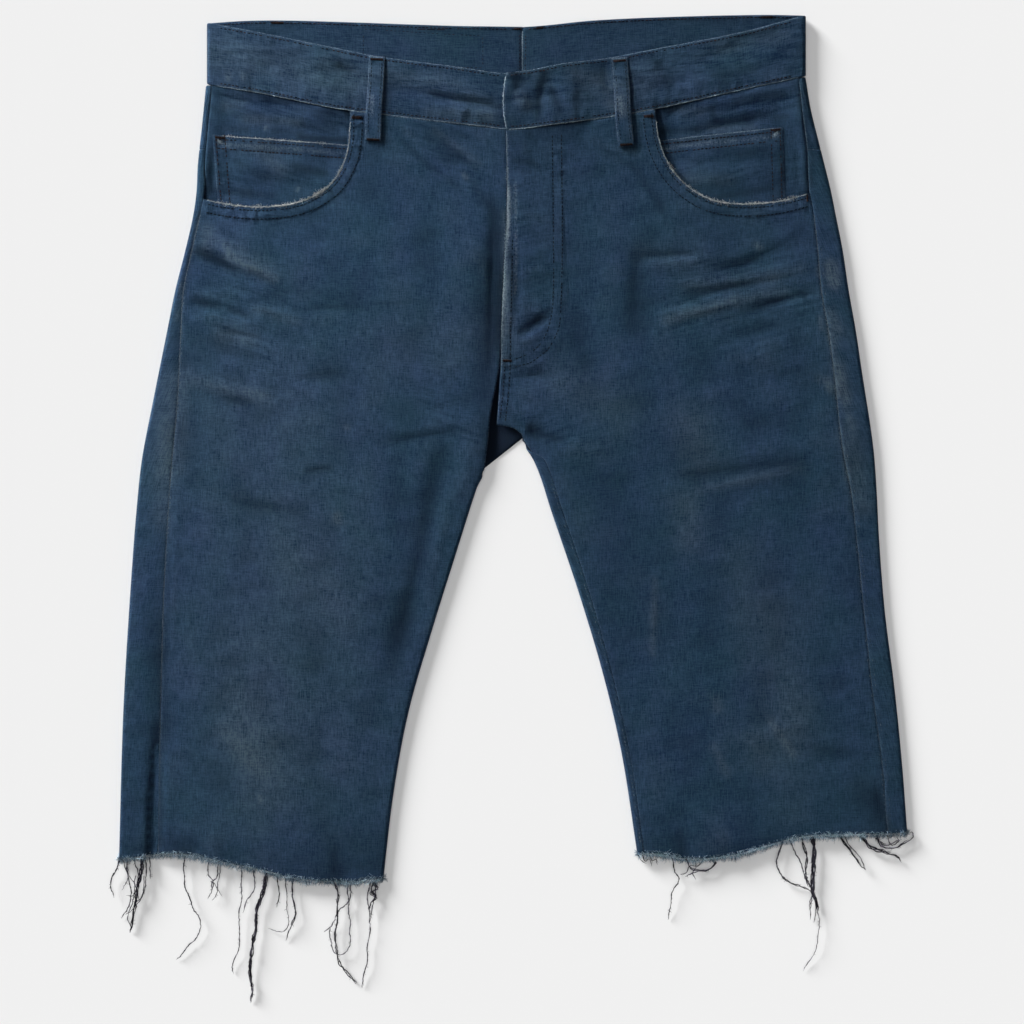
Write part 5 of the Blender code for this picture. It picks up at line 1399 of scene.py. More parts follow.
def facingHeight(side, w, y):
    flat = np.stack([np.ravel(w), np.ravel(y)], axis=1)
    line = mouthLine[side]
    away = awayFrom(flat, line)
    (startW, startY), (endW, endY), past = line[0], line[-1], 60.0
    region = [(endW + past, endY), (endW + past, startY + past), (startW, startY + past)]
    inset = np.where(insideOf(flat, np.concatenate([line, region])), away, -away).reshape(np.shape(w))
    share = smoothStep(*frontPocket["ramp"], inset)
    rise = frontPocket["facingHigh"] - frontPocket["facingLow"]
    folds = creaseHeight(sign[side] * w, y, frontPocket["creases"]) * smoothStep(2.0, 12.0, inset)
    calm = smoothStep(0.0, 5.0, sideSeamAt[side](y) - w)
    toSeam = (1.0 - smoothStep(1.0, 16.0, sideSeamAt[side](y) - w)) * smoothStep(-1.0, 6.0, inset)
    toBand = np.exp(-(((waistSeam(side, w) - y) / 9.0) ** 2)) * smoothStep(-0.5, 4.5, inset)
    drawn = np.maximum(frontPocket["seamRise"] * toSeam, frontPocket["bandRise"] * toBand)
    return frontPocket["facingLow"] + rise * share + drawn + lift(y) + folds * calm * relief["facingCreases"]


def facingPlace(side, extra, rows=()):
    def place(w, y):
        w, y = pairOf(w, y)
        z = facingHeight(side, w, y) + extra + rowRelief(rows, w, y) * 0.7
        return np.stack([sign[side] * w, y, z], axis=-1)

    return place


def coinLines(side):
    corners = frontPocket["coinCorners"][side]
    step = frontPocket["step"]
    top, outer = lineThrough(corners[:2], step), lineThrough([corners[-1], corners[0]], step)
    outline = np.concatenate([top, lineThrough(corners[1:], step)[1:], outer[1:-1]])
    rows = [beside(lineThrough(corners[:2], 4.0), -d) for d in frontPocket["coinRows"]]
    sides = [beside(lineThrough([corners[0], corners[-1]], 4.0), d) for d in frontPocket["coinSideRows"]]
    rows = [r[1:] for r in rows] + [s[:-1] for s in sides]
    return outline, rows


def plainGrid(low, high, step):
    found = []
    for k, y in enumerate(np.arange(low[1], high[1], step * 0.87)):
        x = np.arange(low[0] + (k % 2) * step / 2, high[0], step)
        found.append(np.stack([x, np.full(len(x), y)], axis=1))
    return np.concatenate(found)


def makePocket(side):
    seam = lambda y: sideSeamOf(side)(y) - garment["seamGap"]
    step = frontPocket["step"]
    rim = beside(lineThrough(frontPanel["mouth"][side], step), frontPocket["facingMargin"])
    rim = rim[(rim[:, 1] < waistSeam(side, rim[:, 0]) - 6.0) & (rim[:, 0] < seam(rim[:, 1]) - 3.0)]
    low, high = rim[0][0], meeting(seam, lambda w, y: waistSeam(side, w), 305.0)
    across = np.linspace(high[0], low, round((high[0] - low) / step) + 1)
    outline = np.concatenate([
        np.stack([across, waistSeam(side, across)], axis=1),
        rim,
        column(seam, rim[-1][1], high[1], step)[:-1],
    ])
    grid = plainGrid((90.0, 195.0), (230.0, 312.0), step)
    layout = lambda w, y: np.stack([w, y], axis=-1)
    facing = Surface(facingPlace(side, 0.0), int(sign[side]))
    # the facing gets some painted shade all over, under the front panel
    shading = clothShading(0.1, 1.0, (), 0.12)
    name, wall, points = f"pocketFacing_{side}", garment["pocketCloth"], innerPoints(outline, grid)
    piece = clothWall(name, outline, points, facing, wall, pocketDenim, layout, shading)
    dressed(piece, [f"pocket_facing_{side}"])
    coinOutline, rows = coinLines(side)
    coinWall = frontPocket["coinCloth"]
    coin = Surface(facingPlace(side, (wall + coinWall) / 2 + 0.1, rows), int(sign[side]))
    corners = frontPocket["coinCorners"][side]
    top = lineThrough(corners[:2], 4.0)
    spot = np.array(corners[0]) + (-5.5, -5.0)
    worn = [
        (top, 0.3, 0.6),
        (lineThrough([corners[0], corners[-1]], 4.0), 0.12, 0.6),
        (beside(top, -5.8)[1:], 0.34, 1.7),
        (np.array([spot, spot + (1.4, 1.2)]), 0.95, 1.5),
    ]
    shading, points = clothShading(0.2, 1.0, worn), innerPoints(coinOutline, grid, rows)
    name = f"coinPocket_{side}"
    coinPiece = clothWall(name, coinOutline, points, coin, coinWall, pocketDenim, layout, shading)
    dressed(coinPiece, [f"coin_pocket_{side}"])
    return piece, coinPiece, coin, rows


# The strip behind the fly

flyShield = {
    "outline": (
        (-12.0, 274.0), (-12.0, 200.0), (-13.0, 150.0), (-14.5, 116.0), (0.0, 118.0), (14.0, 124.0),
        (26.0, 136.0), (30.0, 152.0), (30.0, 200.0), (30.0, 277.0), (10.0, 274.8),
    ),
    "gap": 0.4,
    "step": 4.0,
}


def makeShield():
    corners = np.array(flyShield["outline"])
    outline = []
    for a, b in zip(corners, np.roll(corners, -1, axis=0)):
        count = max(1, round(np.linalg.norm(b - a) / flyShield["step"]))
        outline += [a + (b - a) * k / count for k in range(count)]
    outline = np.array(outline)

    def place(x, y):
        x, y = pairOf(x, y)
        rightHeight, leftHeight = upperHeight("right", -x, y), upperHeight("left", x, y)
        share = smoothStep(-5.0, -3.0, x)
        z = rightHeight * (1 - share) + leftHeight * share - garment["denim"] - flyShield["gap"] - 0.2
        return np.stack([x, y, z], axis=-1)

    grid = plainGrid((-20.0, 110.0), (32.0, 280.0), flyShield["step"])
    layout = lambda x, y: np.stack([x, y], axis=-1)
    points = innerPoints(outline, grid, (), 2.0)
    surface, wall, shading = Surface(place, 1), garment["denim"], clothShading()
    piece = clothWall("flyShield", outline, points, surface, wall, overdyedDenim, layout, shading)
    return dressed(piece, ["fly_shield"])


# Straps: the waistband halves and the belt loops are closed walls on a grid


def strap(name, surface, runs, width, thickness, rounding, material, shading):
    # the surface maps s along and t across to a point, with t from 0 to width
    near = rounding * (1 - np.cos(np.linspace(0, np.pi / 2, 4)))
    body = np.linspace(rounding, width - rounding, max(2, round((width - 2 * rounding) / 2.1)) + 1)
    across = np.concatenate([near[:-1], body, width - near[-2::-1]])
    ends = rounding * 0.8 * (1 - np.cos(np.linspace(0, np.pi / 2, 3)))
    between = runs[(runs > runs[0] + rounding) & (runs < runs[-1] - rounding)]
    runs = np.concatenate([runs[0] + ends[:-1], between, runs[-1] - ends[-2::-1]])
    s, t = np.meshgrid(runs, across, indexing="ij")
    middle = surface.place(s, t)
    normal = unit(np.cross(np.gradient(middle, axis=0), np.gradient(middle, axis=1)) * surface.outside)
    depth = np.minimum(np.minimum(t, width - t), np.minimum(s - runs[0], runs[-1] - s) / 0.8)
    share = np.clip(depth / rounding, 0.0, 1.0)
    half = thickness / 2 * (0.25 + 0.75 * np.sqrt(1 - (1 - share) ** 2))[..., None]
    vertices = np.stack([middle + normal * half, middle - normal * half]).reshape(-1, 3)
    index = np.arange(s.size).reshape(s.shape)
    a, b, c, d = index[:-1, :-1], index[1:, :-1], index[1:, 1:], index[:-1, 1:]
    top = np.stack([a, b, c, d], axis=-1).reshape(-1, 4)
    rim = np.concatenate([index[:, 0], index[-1, 1:], index[-2::-1, -1], index[0, -2:0:-1]])
    after = np.roll(rim, -1)
    sideFaces = np.stack([after, rim, s.size + rim, s.size + after], axis=-1)
    faces = top.tolist() + (s.size + top[:, ::-1]).tolist() + sideFaces.tolist()
    if shellVolume(vertices, faces) < 0:
        faces = [f[::-1] for f in faces]
    flat = np.stack([s.ravel(), t.ravel()], axis=1)
    onRim = np.isin(np.arange(s.size), rim)
    values = shading(flat, middle.reshape(-1, 3), onRim)
    values = {key: np.tile(value, 2) for key, value in values.items()}
    values["inward"] = np.zeros(2 * s.size)
    return meshObject(name, vertices, faces, material, values, np.tile(flat[:, ::-1], (2, 1)))


bandCreases = (  # x1, y1, x2, y2, height, half width, on the waistband's front
    (-5, 315, 13, 313.5, 0.45, 3.2), (25, 317, 19, 284, -0.5, 3.8), (23, 316, 34, 292, -0.35, 3.6),
    (9, 312, 9, 290, 0.4, 4.4), (3, 303, 10, 288, 0.6, 4.4), (4, 284, 20, 281, -0.3, 3),
    (40, 316, 44, 300, 0.25, 4.6), (66, 322, 67, 302, -0.45, 4.4), (44, 300, 52, 288, -0.45, 3.4),
    (60, 306, 72, 292, 0.4, 4), (-62, 300.5, -7, 291.5, -0.75, 2.8), (-90, 306, -48, 300, -0.4, 3.4),
    (-66, 306, -12, 299, 0.45, 3.8), (-56, 291, -10, 285, 0.5, 3.4), (-30, 291, -29, 281, -0.45, 2.2),
    (-42, 292, -41, 282, -0.4, 2.2), (-36, 291, -35, 281, 0.3, 2.2), (-140, 322, -100, 315, -0.45, 4),
    (-152, 312, -112, 306, 0.3, 4.4), (-126, 324, -106, 308, -0.35, 3.4), (-200, 338, -160, 330, 0.25, 6),
    (-190, 320, -172, 312, -0.3, 5), (-176, 336, -150, 320, -0.25, 5), (92, 300, 140, 316, -0.3, 4.4),
    (104, 324, 118, 302, -0.35, 4), (118, 322, 170, 334, -0.3, 4.4), (150, 316, 196, 330, 0.3, 5),
    (158, 336, 174, 314, -0.3, 4.4), (160, 342, 190, 340, -0.3, 4),
)


def lineAt(t, start, end, step):  # a line along a strap, at t across it
    s = np.arange(start, end, step)
    return np.stack([s, np.full(len(s), t)], axis=1)


def bandPlace(side, rows):
    radius = (waistband["over"] - waistband["under"]) / 2
    outer = waistband["edge"][side] - waistband["wall"] / 2 - radius
    first = waistband["firstEnd"][side]
    overRun, arcRun = outer - first, math.pi * radius

    def place(s, t):
        s, t = pairOf(s, t)
        share = t / waistband["height"]
        w = first + s
        if side == "left":
            w = w - 2.6 * 4 * share * (1 - share) * (1.0 - smoothStep(0.0, 22.0, s))
        upTo = np.minimum(w, outer)
        yOver = bandBottomAt[side](upTo) * (1 - share) + bandTopAt[side](upTo) * share
        waves = 0.35 * np.sin(w / 17.0 + 2.2 * share) * (1.0 - smoothStep(150.0, 190.0, w))
        x = sign[side] * w
        fine = relief["bandCreases"] * creaseHeight(x, yOver, bandCreases)
        fine = fine + 0.09 * smallRipples(x, yOver) + 0.16 * softRipples(x, yOver)
        hemPucker = 0.22 * np.sin(w / 1.9 + 1.5 * np.sin(w / 9.0)) * np.exp(-(((t - 6.0) / 6.0) ** 2))
        fine = (fine + hemPucker) * (1.0 - smoothStep(195.0, 210.0, w)) + rowRelief(rows, s, t)
        if side == "right":
            level = waistband["over"] - 0.6 * (1.0 - smoothStep(2.0, 24.0, w))
            level = level + waves * smoothStep(10.0, 40.0, w)
            fine = fine * smoothStep(6.0, 16.0, w)
        else:
            curl = 0.5 * (1.0 - smoothStep(-4.0, 4.0, w)) * (1 - 2 * np.abs(share - 0.5))
            lapRise = waistband["overlapRise"] * (1.0 - smoothStep(38.0, 62.0, w))
            level = waistband["over"] + lapRise + waves * smoothStep(30.0, 60.0, w) + curl
        level = level + fine
        turn = np.clip((s - overRun) / radius, 0.0, np.pi)
        back = outer - np.maximum(s - overRun - arcRun, 0.0)
        top = bandBackAt[side](back)
        yUnder = top - waistband["height"] * (1 - share)
        part = turn / np.pi
        onBack = s > overRun + arcRun
        y = np.where(s < overRun, yOver, np.where(onBack, yUnder, yOver * (1 - part) + yUnder * part))
        centre = (waistband["over"] + waistband["under"]) / 2
        backRelief = 0.12 * softRipples(sign[side] * back, yUnder) * smoothStep(4.0, 14.0, outer - back)
        under, bend = waistband["under"] + backRelief, centre + radius * np.cos(turn)
        z = np.where(s < overRun, level, np.where(onBack, under, bend))
        wide = np.where(s < overRun, w, np.where(onBack, back, outer + radius * np.sin(turn)))
        return np.stack([sign[side] * wide, y, z], axis=-1)

    backEnd = garment["centreBack"] * sign[side] + 0.02
    return place, overRun, arcRun, overRun + arcRun + outer - backEnd


def makeBand(side):
    width, inset = waistband["height"], waistband["stitchInset"]
    start = -waistband["firstEnd"][side] + 8.0 if side == "right" else 2.5
    _, overRun, arcRun, whole = bandPlace(side, ())
    rows = [lineAt(t, start, overRun - 2.0, 6.0) for t in (inset, width - inset)]
    surface = Surface(bandPlace(side, rows)[0], int(sign[side]))
    runs = np.concatenate([
        np.arange(0.0, overRun, waistband["step"]),
        overRun + np.linspace(0.0, arcRun, 11),
        overRun + arcRun + np.arange(3.0, whole - overRun - arcRun - 1.5, 3.0),
        [whole],
    ])
    worn = [(lineAt(0.4, 0.0, overRun, 6.0), 0.4, 0.6), (lineAt(width - 0.5, 0.0, overRun, 6.0), 0.22, 0.6)]
    if side == "left":
        worn.append((np.array([(0.3, 0.0), (0.3, width)]), 0.35, 0.7))
    base = clothShading(0.1, 1.0, worn)

    def shading(flat, middle, onRim):
        values = base(flat, middle, onRim)
        onBack = flat[:, 0] > overRun + arcRun
        values["wear"] = np.where(onBack, values["wear"] * 0.3, values["wear"])
        # the inside of the band's back gets painted shade all over
        values["dark"] = np.where(onBack, 0.22, values["dark"])
        values["fade"] = np.where(onBack, 0.0, values["fade"])
        return values

    name = f"waistBand_{side}"
    piece = strap(name, surface, runs, width, waistband["wall"], waistband["rounding"], bandDenim, shading)
    dressed(piece, [f"waistband_{side}"])
    return piece, surface, rows, overRun, overRun + arcRun, whole


beltLoops = {
    "width": 11.5,
    "wall": 1.4,
    "backWall": 1.0,
    "backLength": 62.0,
    "frontEnds": {"right": ((-97.2, 327.6), (-100.1, 265.7)), "left": ((77.0, 326.6), (82.1, 262.1))},
    "levels": (8.35, 8.65, 8.8, 8.45, 7.5),
    "backTops": {"right": (-169.2, 354.0), "centre": (9.4, 349.2), "left": (183.6, 358.0)},
    "rowInset": 2.2,
}


def makeFrontLoop(side):
    top, bottom = (np.array(v) for v in beltLoops["frontEnds"][side])
    length, width = np.linalg.norm(bottom - top), beltLoops["width"]
    ahead = (bottom - top) / length
    aside = np.array([-ahead[1], ahead[0]])
    level = curveThrough([(length * k / 4, v) for k, v in enumerate(beltLoops["levels"])])
    inset = beltLoops["rowInset"]
    rows = [lineAt(t, 4.0, length - 3.0, 4.0) for t in (inset, width - inset)]

    def place(s, t):
        s, t = pairOf(s, t)
        x = top[0] + ahead[0] * s + aside[0] * (t - width / 2) + 0.3 * np.sin(s / 9.0)
        y = top[1] + ahead[1] * s + aside[1] * (t - width / 2)
        swell = np.sin(np.pi * s / length)
        crown = 0.3 * (1 - (2 * t / width - 1) ** 2) * swell
        z = level(s) + crown + rowRelief(rows, s, t) * 0.6 + 0.1 * np.sin(s / 4.3) * swell
        return np.stack([x, y, z], axis=-1)

    worn = [(lineAt(t, 0.0, length, 6.0), 0.34, 0.6) for t in (0.3, width - 0.3)]
    for start, end, amount, reach in (
        ((0.4, 0.5), (0.4, width - 0.5), 0.6, 0.8),
        ((length - 0.4, 1.0), (length - 0.4, 3.4), 0.6, 0.8),
        ((29.0, 3.6), (42.0, 4.4), 0.42, 2.0),
    ):
        worn.append((np.array([start, end]), amount, reach))
    runs = np.arange(0.0, length + 0.1, 1.6)
    name, surface, shading = f"beltLoopFront_{side}", Surface(place, 1), clothShading(0.1, 1.0, worn)
    piece = strap(name, surface, runs, width, beltLoops["wall"], 0.7, pocketDenim, shading)
    dressed(piece, [f"belt_loop_front_{side}"])
    return piece, surface, rows, length


def makeBackLoop(where):
    x0, top = beltLoops["backTops"][where]
    width, length = beltLoops["width"], beltLoops["backLength"]

    def place(s, t):
        s, t = pairOf(s, t)
        z = beltLoops["backWall"] / 2 + 0.02 + 0.0 * s
        return np.stack([x0 - width / 2 + t, top - s, z], axis=-1)

    runs = np.arange(0.0, length + 0.1, 2.0)
    name, shading = f"beltLoopBack_{where}", clothShading(0.4, 1.0)
    piece = strap(name, Surface(place, -1), runs, width, beltLoops["backWall"], 0.5, pocketDenim, shading)
    return dressed(piece, [f"belt_loop_back_{where}"])


# Frayed hems

frayedHem = {
    "fibresPerMm": 8.0,
    "length": (2.2, 5.4),
    "start": (-1.4, 2.4),  # where they start, from below the cut to on the cloth
    "slant": -1.35,  # the way most of them lie
    "radius": (0.08, 0.15),
    "strayShare": 0.05,
    "strayLength": (3.8, 6.4),
    "yarnDrop": 0.1,  # how far the loosened weft yarn lies below the cut
    "yarnRadius": 0.13,
    "floorLevel": 1.2,
    "threadScale": 1.35,
    "strandSpread": 0.6,
    "kink": 0.16,
    "hairs": 0.16,  # chance of a short hair at each millimetre or so
    "cornerFibres": 34,
}
hemThreads = {  # strands, radius, then w and y in turn along the thread
    "right": (
        (2, 0.3, 283, -251, 284, -256, 288, -263, 289, -270, 287, -278),
        (4, 0.33, 266, -249, 267, -257, 270, -273, 272, -284, 273, -294, 276, -303),
        (1, 0.26, 277, -250, 277.4, -265, 280, -272),
        (1, 0.24, 272, -250, 269.5, -264, 273, -276, 278, -276),
        (1, 0.24, 265, -262, 267, -279, 271, -284, 278.6, -290),
        (1, 0.24, 271, -262, 274, -284, 277, -293, 275, -300),
        (1, 0.22, 280, -251, 276, -262, 272, -268, 268, -280),
        (1, 0.3, 277, -250, 277, -259, 276, -267, 274, -274, 275, -281, 282, -293),
        (1, 0.28, 264, -249, 264, -269, 268, -279, 271, -282), (1, 0.3, 261, -249, 261, -258, 260, -264),
        (1, 0.3, 236, -248, 236, -266, 234, -274, 229, -286, 225, -294, 224, -300, 228, -307, 235, -315,
         242, -323), (1, 0.28, 218.2, -250, 218.2, -262, 215.6, -266, 216.7, -274, 218.9, -279),
        (1, 0.28, 211, -251, 213, -263, 215.6, -266, 215.9, -272),
        (1, 0.2, 209, -252, 211, -262, 212, -269, 209, -277),
        (1, 0.22, 217, -266, 214, -268, 213, -275, 216, -280),
        (1, 0.28, 195, -256, 195, -279, 197, -296, 196, -305, 198, -318, 202, -330, 201, -333),
        (1, 0.3, 186, -258, 186, -271, 191, -281, 194, -289),
        (6, 0.31, 176, -260, 177, -263, 180, -276, 183, -284, 184, -293, 186, -307, 187, -315, 189, -329,
         188, -339, 187, -346, 188.5, -354), (1, 0.28, 169, -261, 168, -277, 169, -285),
        (2, 0.3, 158, -264, 158, -277, 156, -288, 158, -296, 163, -309),
        (1, 0.2, 163, -264, 162, -284, 161, -293, 163, -301, 166, -303, 176, -300),
        (2, 0.3, 128, -266, 125, -281, 126, -291, 127, -305, 125, -323, 119, -332, 112, -340),
        (1, 0.28, 116, -267, 118, -281, 125, -288, 131, -299, 135, -303),
        (1, 0.26, 118, -267, 118, -281, 117, -293, 118, -315, 122, -319, 128, -317, 131, -307, 131, -299),
        (3, 0.28, 101, -266, 97.5, -271, 102, -274, 98, -278, 101, -281),
        (2, 0.28, 97, -265, 101, -272, 98, -276, 102, -281, 103, -288),
        (1, 0.3, 102, -266, 104, -281, 102, -293, 103, -305, 104, -315, 105, -326, 109, -343),
        (1, 0.28, 98, -265, 100, -284, 102, -292),
    ),
    "left": (
        (1, 0.28, 115, -248, 118, -260, 120, -264, 116, -273, 114, -283, 113, -294),
        (2, 0.28, 125, -250, 129, -257, 135, -258, 141, -257, 147, -253),
        (2, 0.3, 147, -252, 141, -258, 132, -259.6, 124.6, -262),
        (1, 0.24, 131, -250, 133, -256, 130, -260, 132, -265),
        (1, 0.24, 138, -250, 135, -254, 128, -255, 126, -260, 121, -261),
        (1, 0.22, 94, -247, 96, -252, 99, -250, 101, -255),
        (1, 0.22, 99, -247, 101, -251, 104, -249.5, 104.4, -254), (1, 0.22, 91, -247, 93, -251, 97, -253),
        (2, 0.27, 195, -237, 191.5, -246, 191.5, -254, 194.6, -263, 202, -268, 210, -270, 216, -273),
        (1, 0.28, 200, -236, 206, -249, 210, -259, 213, -270),
        (2, 0.32, 209, -235, 212, -250, 212, -258, 213, -267, 217, -274),
        (5, 0.33, 216, -234, 218, -248, 217, -261, 217, -274, 219, -280, 222, -287),
        (2, 0.28, 217, -234, 217, -274, 215, -283, 215, -294),
        (2, 0.28, 218, -234, 216, -272, 219, -284, 218, -296),
        (1, 0.21, 217, -272, 220, -287, 221, -296, 221, -304, 219, -314, 216, -321, 210, -331),
        (3, 0.3, 236, -233, 243, -243, 248, -250, 255, -258),
        (1, 0.24, 239, -233, 247, -245, 252, -251, 255, -258),
        (4, 0.3, 251, -233, 258, -241, 269, -245, 276, -247, 280, -253),
        (2, 0.3, 263, -233, 267, -241, 276, -242, 283, -238, 289, -233, 288, -230, 286, -231),
        (2, 0.26, 262, -235, 268, -239, 275, -238, 281, -236),
        (1, 0.24, 270, -233, 274, -240, 279, -237, 277, -233),
    ),
}


def hemFuzz(bag, surface, hem, rng, amount=1.0):
    # short curled fibres all along a cut edge, from on the cloth to past the cut
    line = lineThrough(hem, 0.6)
    run = runAlong(line)
    paths, radii, tones = [], [], []
    for _ in range(int(run[-1] * frayedHem["fibresPerMm"] * amount)):
        s = rng.uniform(0.0, run[-1])
        at = np.array([np.interp(s, run, line[:, k]) for k in range(2)])
        clump = 0.5 + 0.5 * math.sin(s / 2.3 + 2.2 * math.sin(s / 6.1))
        stray = rng.random() < frayedHem["strayShare"]
        shortest, longest = frayedHem["strayLength"] if stray else frayedHem["length"]
        size = rng.uniform(shortest, longest) * (0.7 + 0.5 * clump)
        heading = frayedHem["slant"] + 0.6 * math.sin(s / 9.0 + math.sin(s / 3.7)) + rng.gauss(0.0, 0.36)
        curl = rng.gauss(0.0, 0.2)
        lowest, highest = frayedHem["start"]
        at = at + (0.0, lowest + (highest - lowest) * rng.random() ** 1.6)
        height, rise = rng.uniform(0.45, 0.75), rng.uniform(0.0, 0.35)
        path = []
        for k in range(5):
            path.append((at[0], at[1], height + rise * math.sin(math.pi * k / 4) - 0.12 * k * rng.random()))
            heading += curl + rng.gauss(0.0, 0.16)
            at = at + np.array([math.cos(heading), math.sin(heading)]) * size / 5
        paths.append(path)
        radii.append(rng.uniform(*frayedHem["radius"]) * np.array([0.8, 1.0, 1.0, 0.85, 0.5]))
        tones.append(min(1.0, rng.random() ** 2.0 + 0.35 * clump * rng.random()))
    paths = np.array(paths)
    middle, normal = surface.over(paths[..., 0], paths[..., 1], 0.0)
    routes = middle + normal * np.sign(normal[..., 2:]) * paths[..., 2:]
    routes[..., 2] = np.maximum(routes[..., 2], 0.22)
    bag.strands(routes, np.array(radii), 3, tones)


def weftYarns(bag, surface, hem, rng):
    # the last weft yarn, pulled loose and wavy below the cut, in lengths
    line = lineThrough(hem, 0.9)
    edge, normal = surface.over(line[:, 0], line[:, 1], 0.0)
    phase = rng.uniform(0.0, 6.0)
    s = np.arange(len(line)) * 0.9
    path = edge + normal * 0.22 * np.sin(s / 1.1 + phase)[:, None]
    path[:, 1] -= frayedHem["yarnDrop"] + 0.28 * np.sin(s / 2.3 + phase) + 0.22 * np.sin(s / 5.1 + 2 * phase)
    path[:, 2] = np.maximum(path[:, 2], frayedHem["yarnRadius"] + 0.05)
    cut = 0
    while cut < len(path) - 8:
        length = rng.randint(14, 60)
        run = path[cut : cut + length]
        if len(run) > 5:
            radii = frayedHem["yarnRadius"] * (0.85 + 0.3 * np.sin(s[cut : cut + len(run)] / 1.7))
            radii[[0, -1]] *= 0.4
            bag.strands(run[None], radii[None], 5, rng.uniform(0.0, 0.2))
        cut += length + rng.randint(0, 3)


def cornerTuft(bag, point, outward, rng):
    # longer fibres that stand out from a corner of a hem
    for _ in range(frayedHem["cornerFibres"]):
        heading = rng.uniform(-1.5, 0.1)
        size = rng.uniform(2.6, 6.2)
        curl = rng.gauss(0.0, 0.4)
        at = np.array([point[0] - outward * rng.uniform(-0.5, 1.6), point[1] + rng.uniform(-1.0, 1.8)])
        level = max(0.3, point[2] + rng.uniform(-0.4, 0.9))
        path = []
        for k in range(5):
            path.append((at[0], at[1], max(0.25, level - 0.15 * k)))
            heading += curl + rng.gauss(0.0, 0.3)
            at = at + np.array([outward * math.cos(heading), math.sin(heading)]) * size / 5
        radii = rng.uniform(0.10, 0.17) * np.array([[0.8, 1.0, 1.0, 0.8, 0.5]])
        bag.strands(np.array([path]), radii, 3, rng.random() ** 1.3)


def looseThreads(bag, side, rng, rootLevel, chosen):
    for strands, radius, *places in chosen:
        route = lineThrough(np.reshape(places, (-1, 2)), 1.3)
        count = len(route)
        along = np.arange(count) * 1.3
        aside = beside(route, 1.0) - route
        for k in range(strands):
            phase = rng.uniform(0.0, 6.3)
            spread = 0.0 if strands == 1 else frayedHem["strandSpread"] * (1.6 if strands > 3 else 1.0)
            twist = spread * np.sin(along / rng.uniform(3.0, 5.0) + phase) * np.linspace(1.0, 0.55, count)
            kinks = draws(rng.gauss, count, 0.0, frayedHem["kink"])
            kinks = kinks + 0.4 * np.sin(along / rng.uniform(2.2, 4.0) + 2 * phase)
            kinks = kinks * np.minimum(1.0, along / 5.0)
            path = route + aside * (twist + kinks)[:, None]
            share = along / max(along[-1], 45.0)
            low = frayedHem["floorLevel"] + 0.3 * k
            z = low + (rootLevel - low + 0.5 * np.sin(along / 6.0 + phase) * share) * (1.0 - share ** 4)
            end = max(4, count - rng.randint(0, 3 + 6 * (strands > 1)) * (k > 0))
            full = np.stack([sign[side] * path[:, 0], path[:, 1], np.maximum(z, low)], axis=1)[:end]
            beads = draws(rng.uniform, end, 0.62, 1.35)
            thick = radius * frayedHem["threadScale"] * beads * np.linspace(1.1, 0.8, end)
            thick[-3:] *= (0.85, 0.6, 0.3)
            bag.strands(full[None], thick[None], 5, rng.uniform(0.0, 0.8))
            for at in range(2, end - 1):
                if rng.random() > frayedHem["hairs"]:
                    continue
                way = rng.uniform(-math.pi, 0.2)
                tip = np.array([math.cos(way), math.sin(way), rng.uniform(-0.1, 0.2)])
                tip *= rng.uniform(0.8, 2.4)
                bend = np.array([rng.uniform(-0.3, 0.3), rng.uniform(-0.3, 0.3), 0.1])
                hair = np.array([full[at], full[at] + tip * 0.5 + bend, full[at] + tip])
                bag.strands(hair[None], [(0.16, 0.13, 0.06)], 3, rng.uniform(0.0, 0.8))


def makeHem(side, layer, surface, hem, seed):
    rng = random.Random(seed)
    name = "Front" if layer > 0 else "Back"
    node = f"hem_fray_{name.lower()}_{side}"
    fuzz = Bag()
    weftYarns(fuzz, surface, hem, rng)
    hemFuzz(fuzz, surface, hem, rng, 1.0 if layer > 0 else 0.8)
    y = hem[:, 1].mean()
    outer, inner = foldStarts(side, y)
    quarter = np.pi / 2 * foldRadius(y)
    for p, outward in ((outer + quarter, sign[side]), (inner - quarter, -sign[side])):
        if hem[:, 0].min() < p < hem[:, 0].max():
            level = np.interp(p, hem[:, 0], hem[:, 1])
            cornerTuft(fuzz, surface.place(np.array(p), np.array(level)), outward, rng)
    piece = dressed(fuzz.made(f"hemFray{name}_{side}", frayYarn), [node])
    shows = sideSeamAt[side](-240.0) - 2.0
    chosen = [t for t in hemThreads[side] if (t[2] < shows) == (layer > 0)]
    if not chosen:
        return (piece,)
    threads = Bag()
    looseThreads(threads, side, rng, 4.0, chosen)
    threadPiece = dressed(threads.made(f"looseThreads{name}_{side}", looseThread), [])
    return piece, threadPiece


# Build everything

rng = random.Random(42)
made = {}
for side in sign:
    front, frontAt = makeFront(side)
    hem = hemSeam(side, 1, frontInner(side), sideSeamOf(side), 2.0)
    made["front", side] = front, frontAt, hem
    print(f"front panel {side} made: {len(front.data.vertices)} points")
    back, backAt, backRow = makeBack(side)
    made["yoke", side] = makeYoke(side)
    backHem = hemSeam(side, -1, backInner(side), outerLip(side), 2.0)
    made["back", side] = back, backAt, backHem, backRow
    print(f"back panel {side} made: {len(back.data.vertices)} points")
    made["pocket", side] = makePocket(side)
    made["band", side] = makeBand(side)
    made["loop", side] = makeFrontLoop(side)
    print(f"pocket, waistband and loop {side} made")
made["shield"] = makeShield()
for where in beltLoops["backTops"]:
    made["backLoop", where] = makeBackLoop(where)

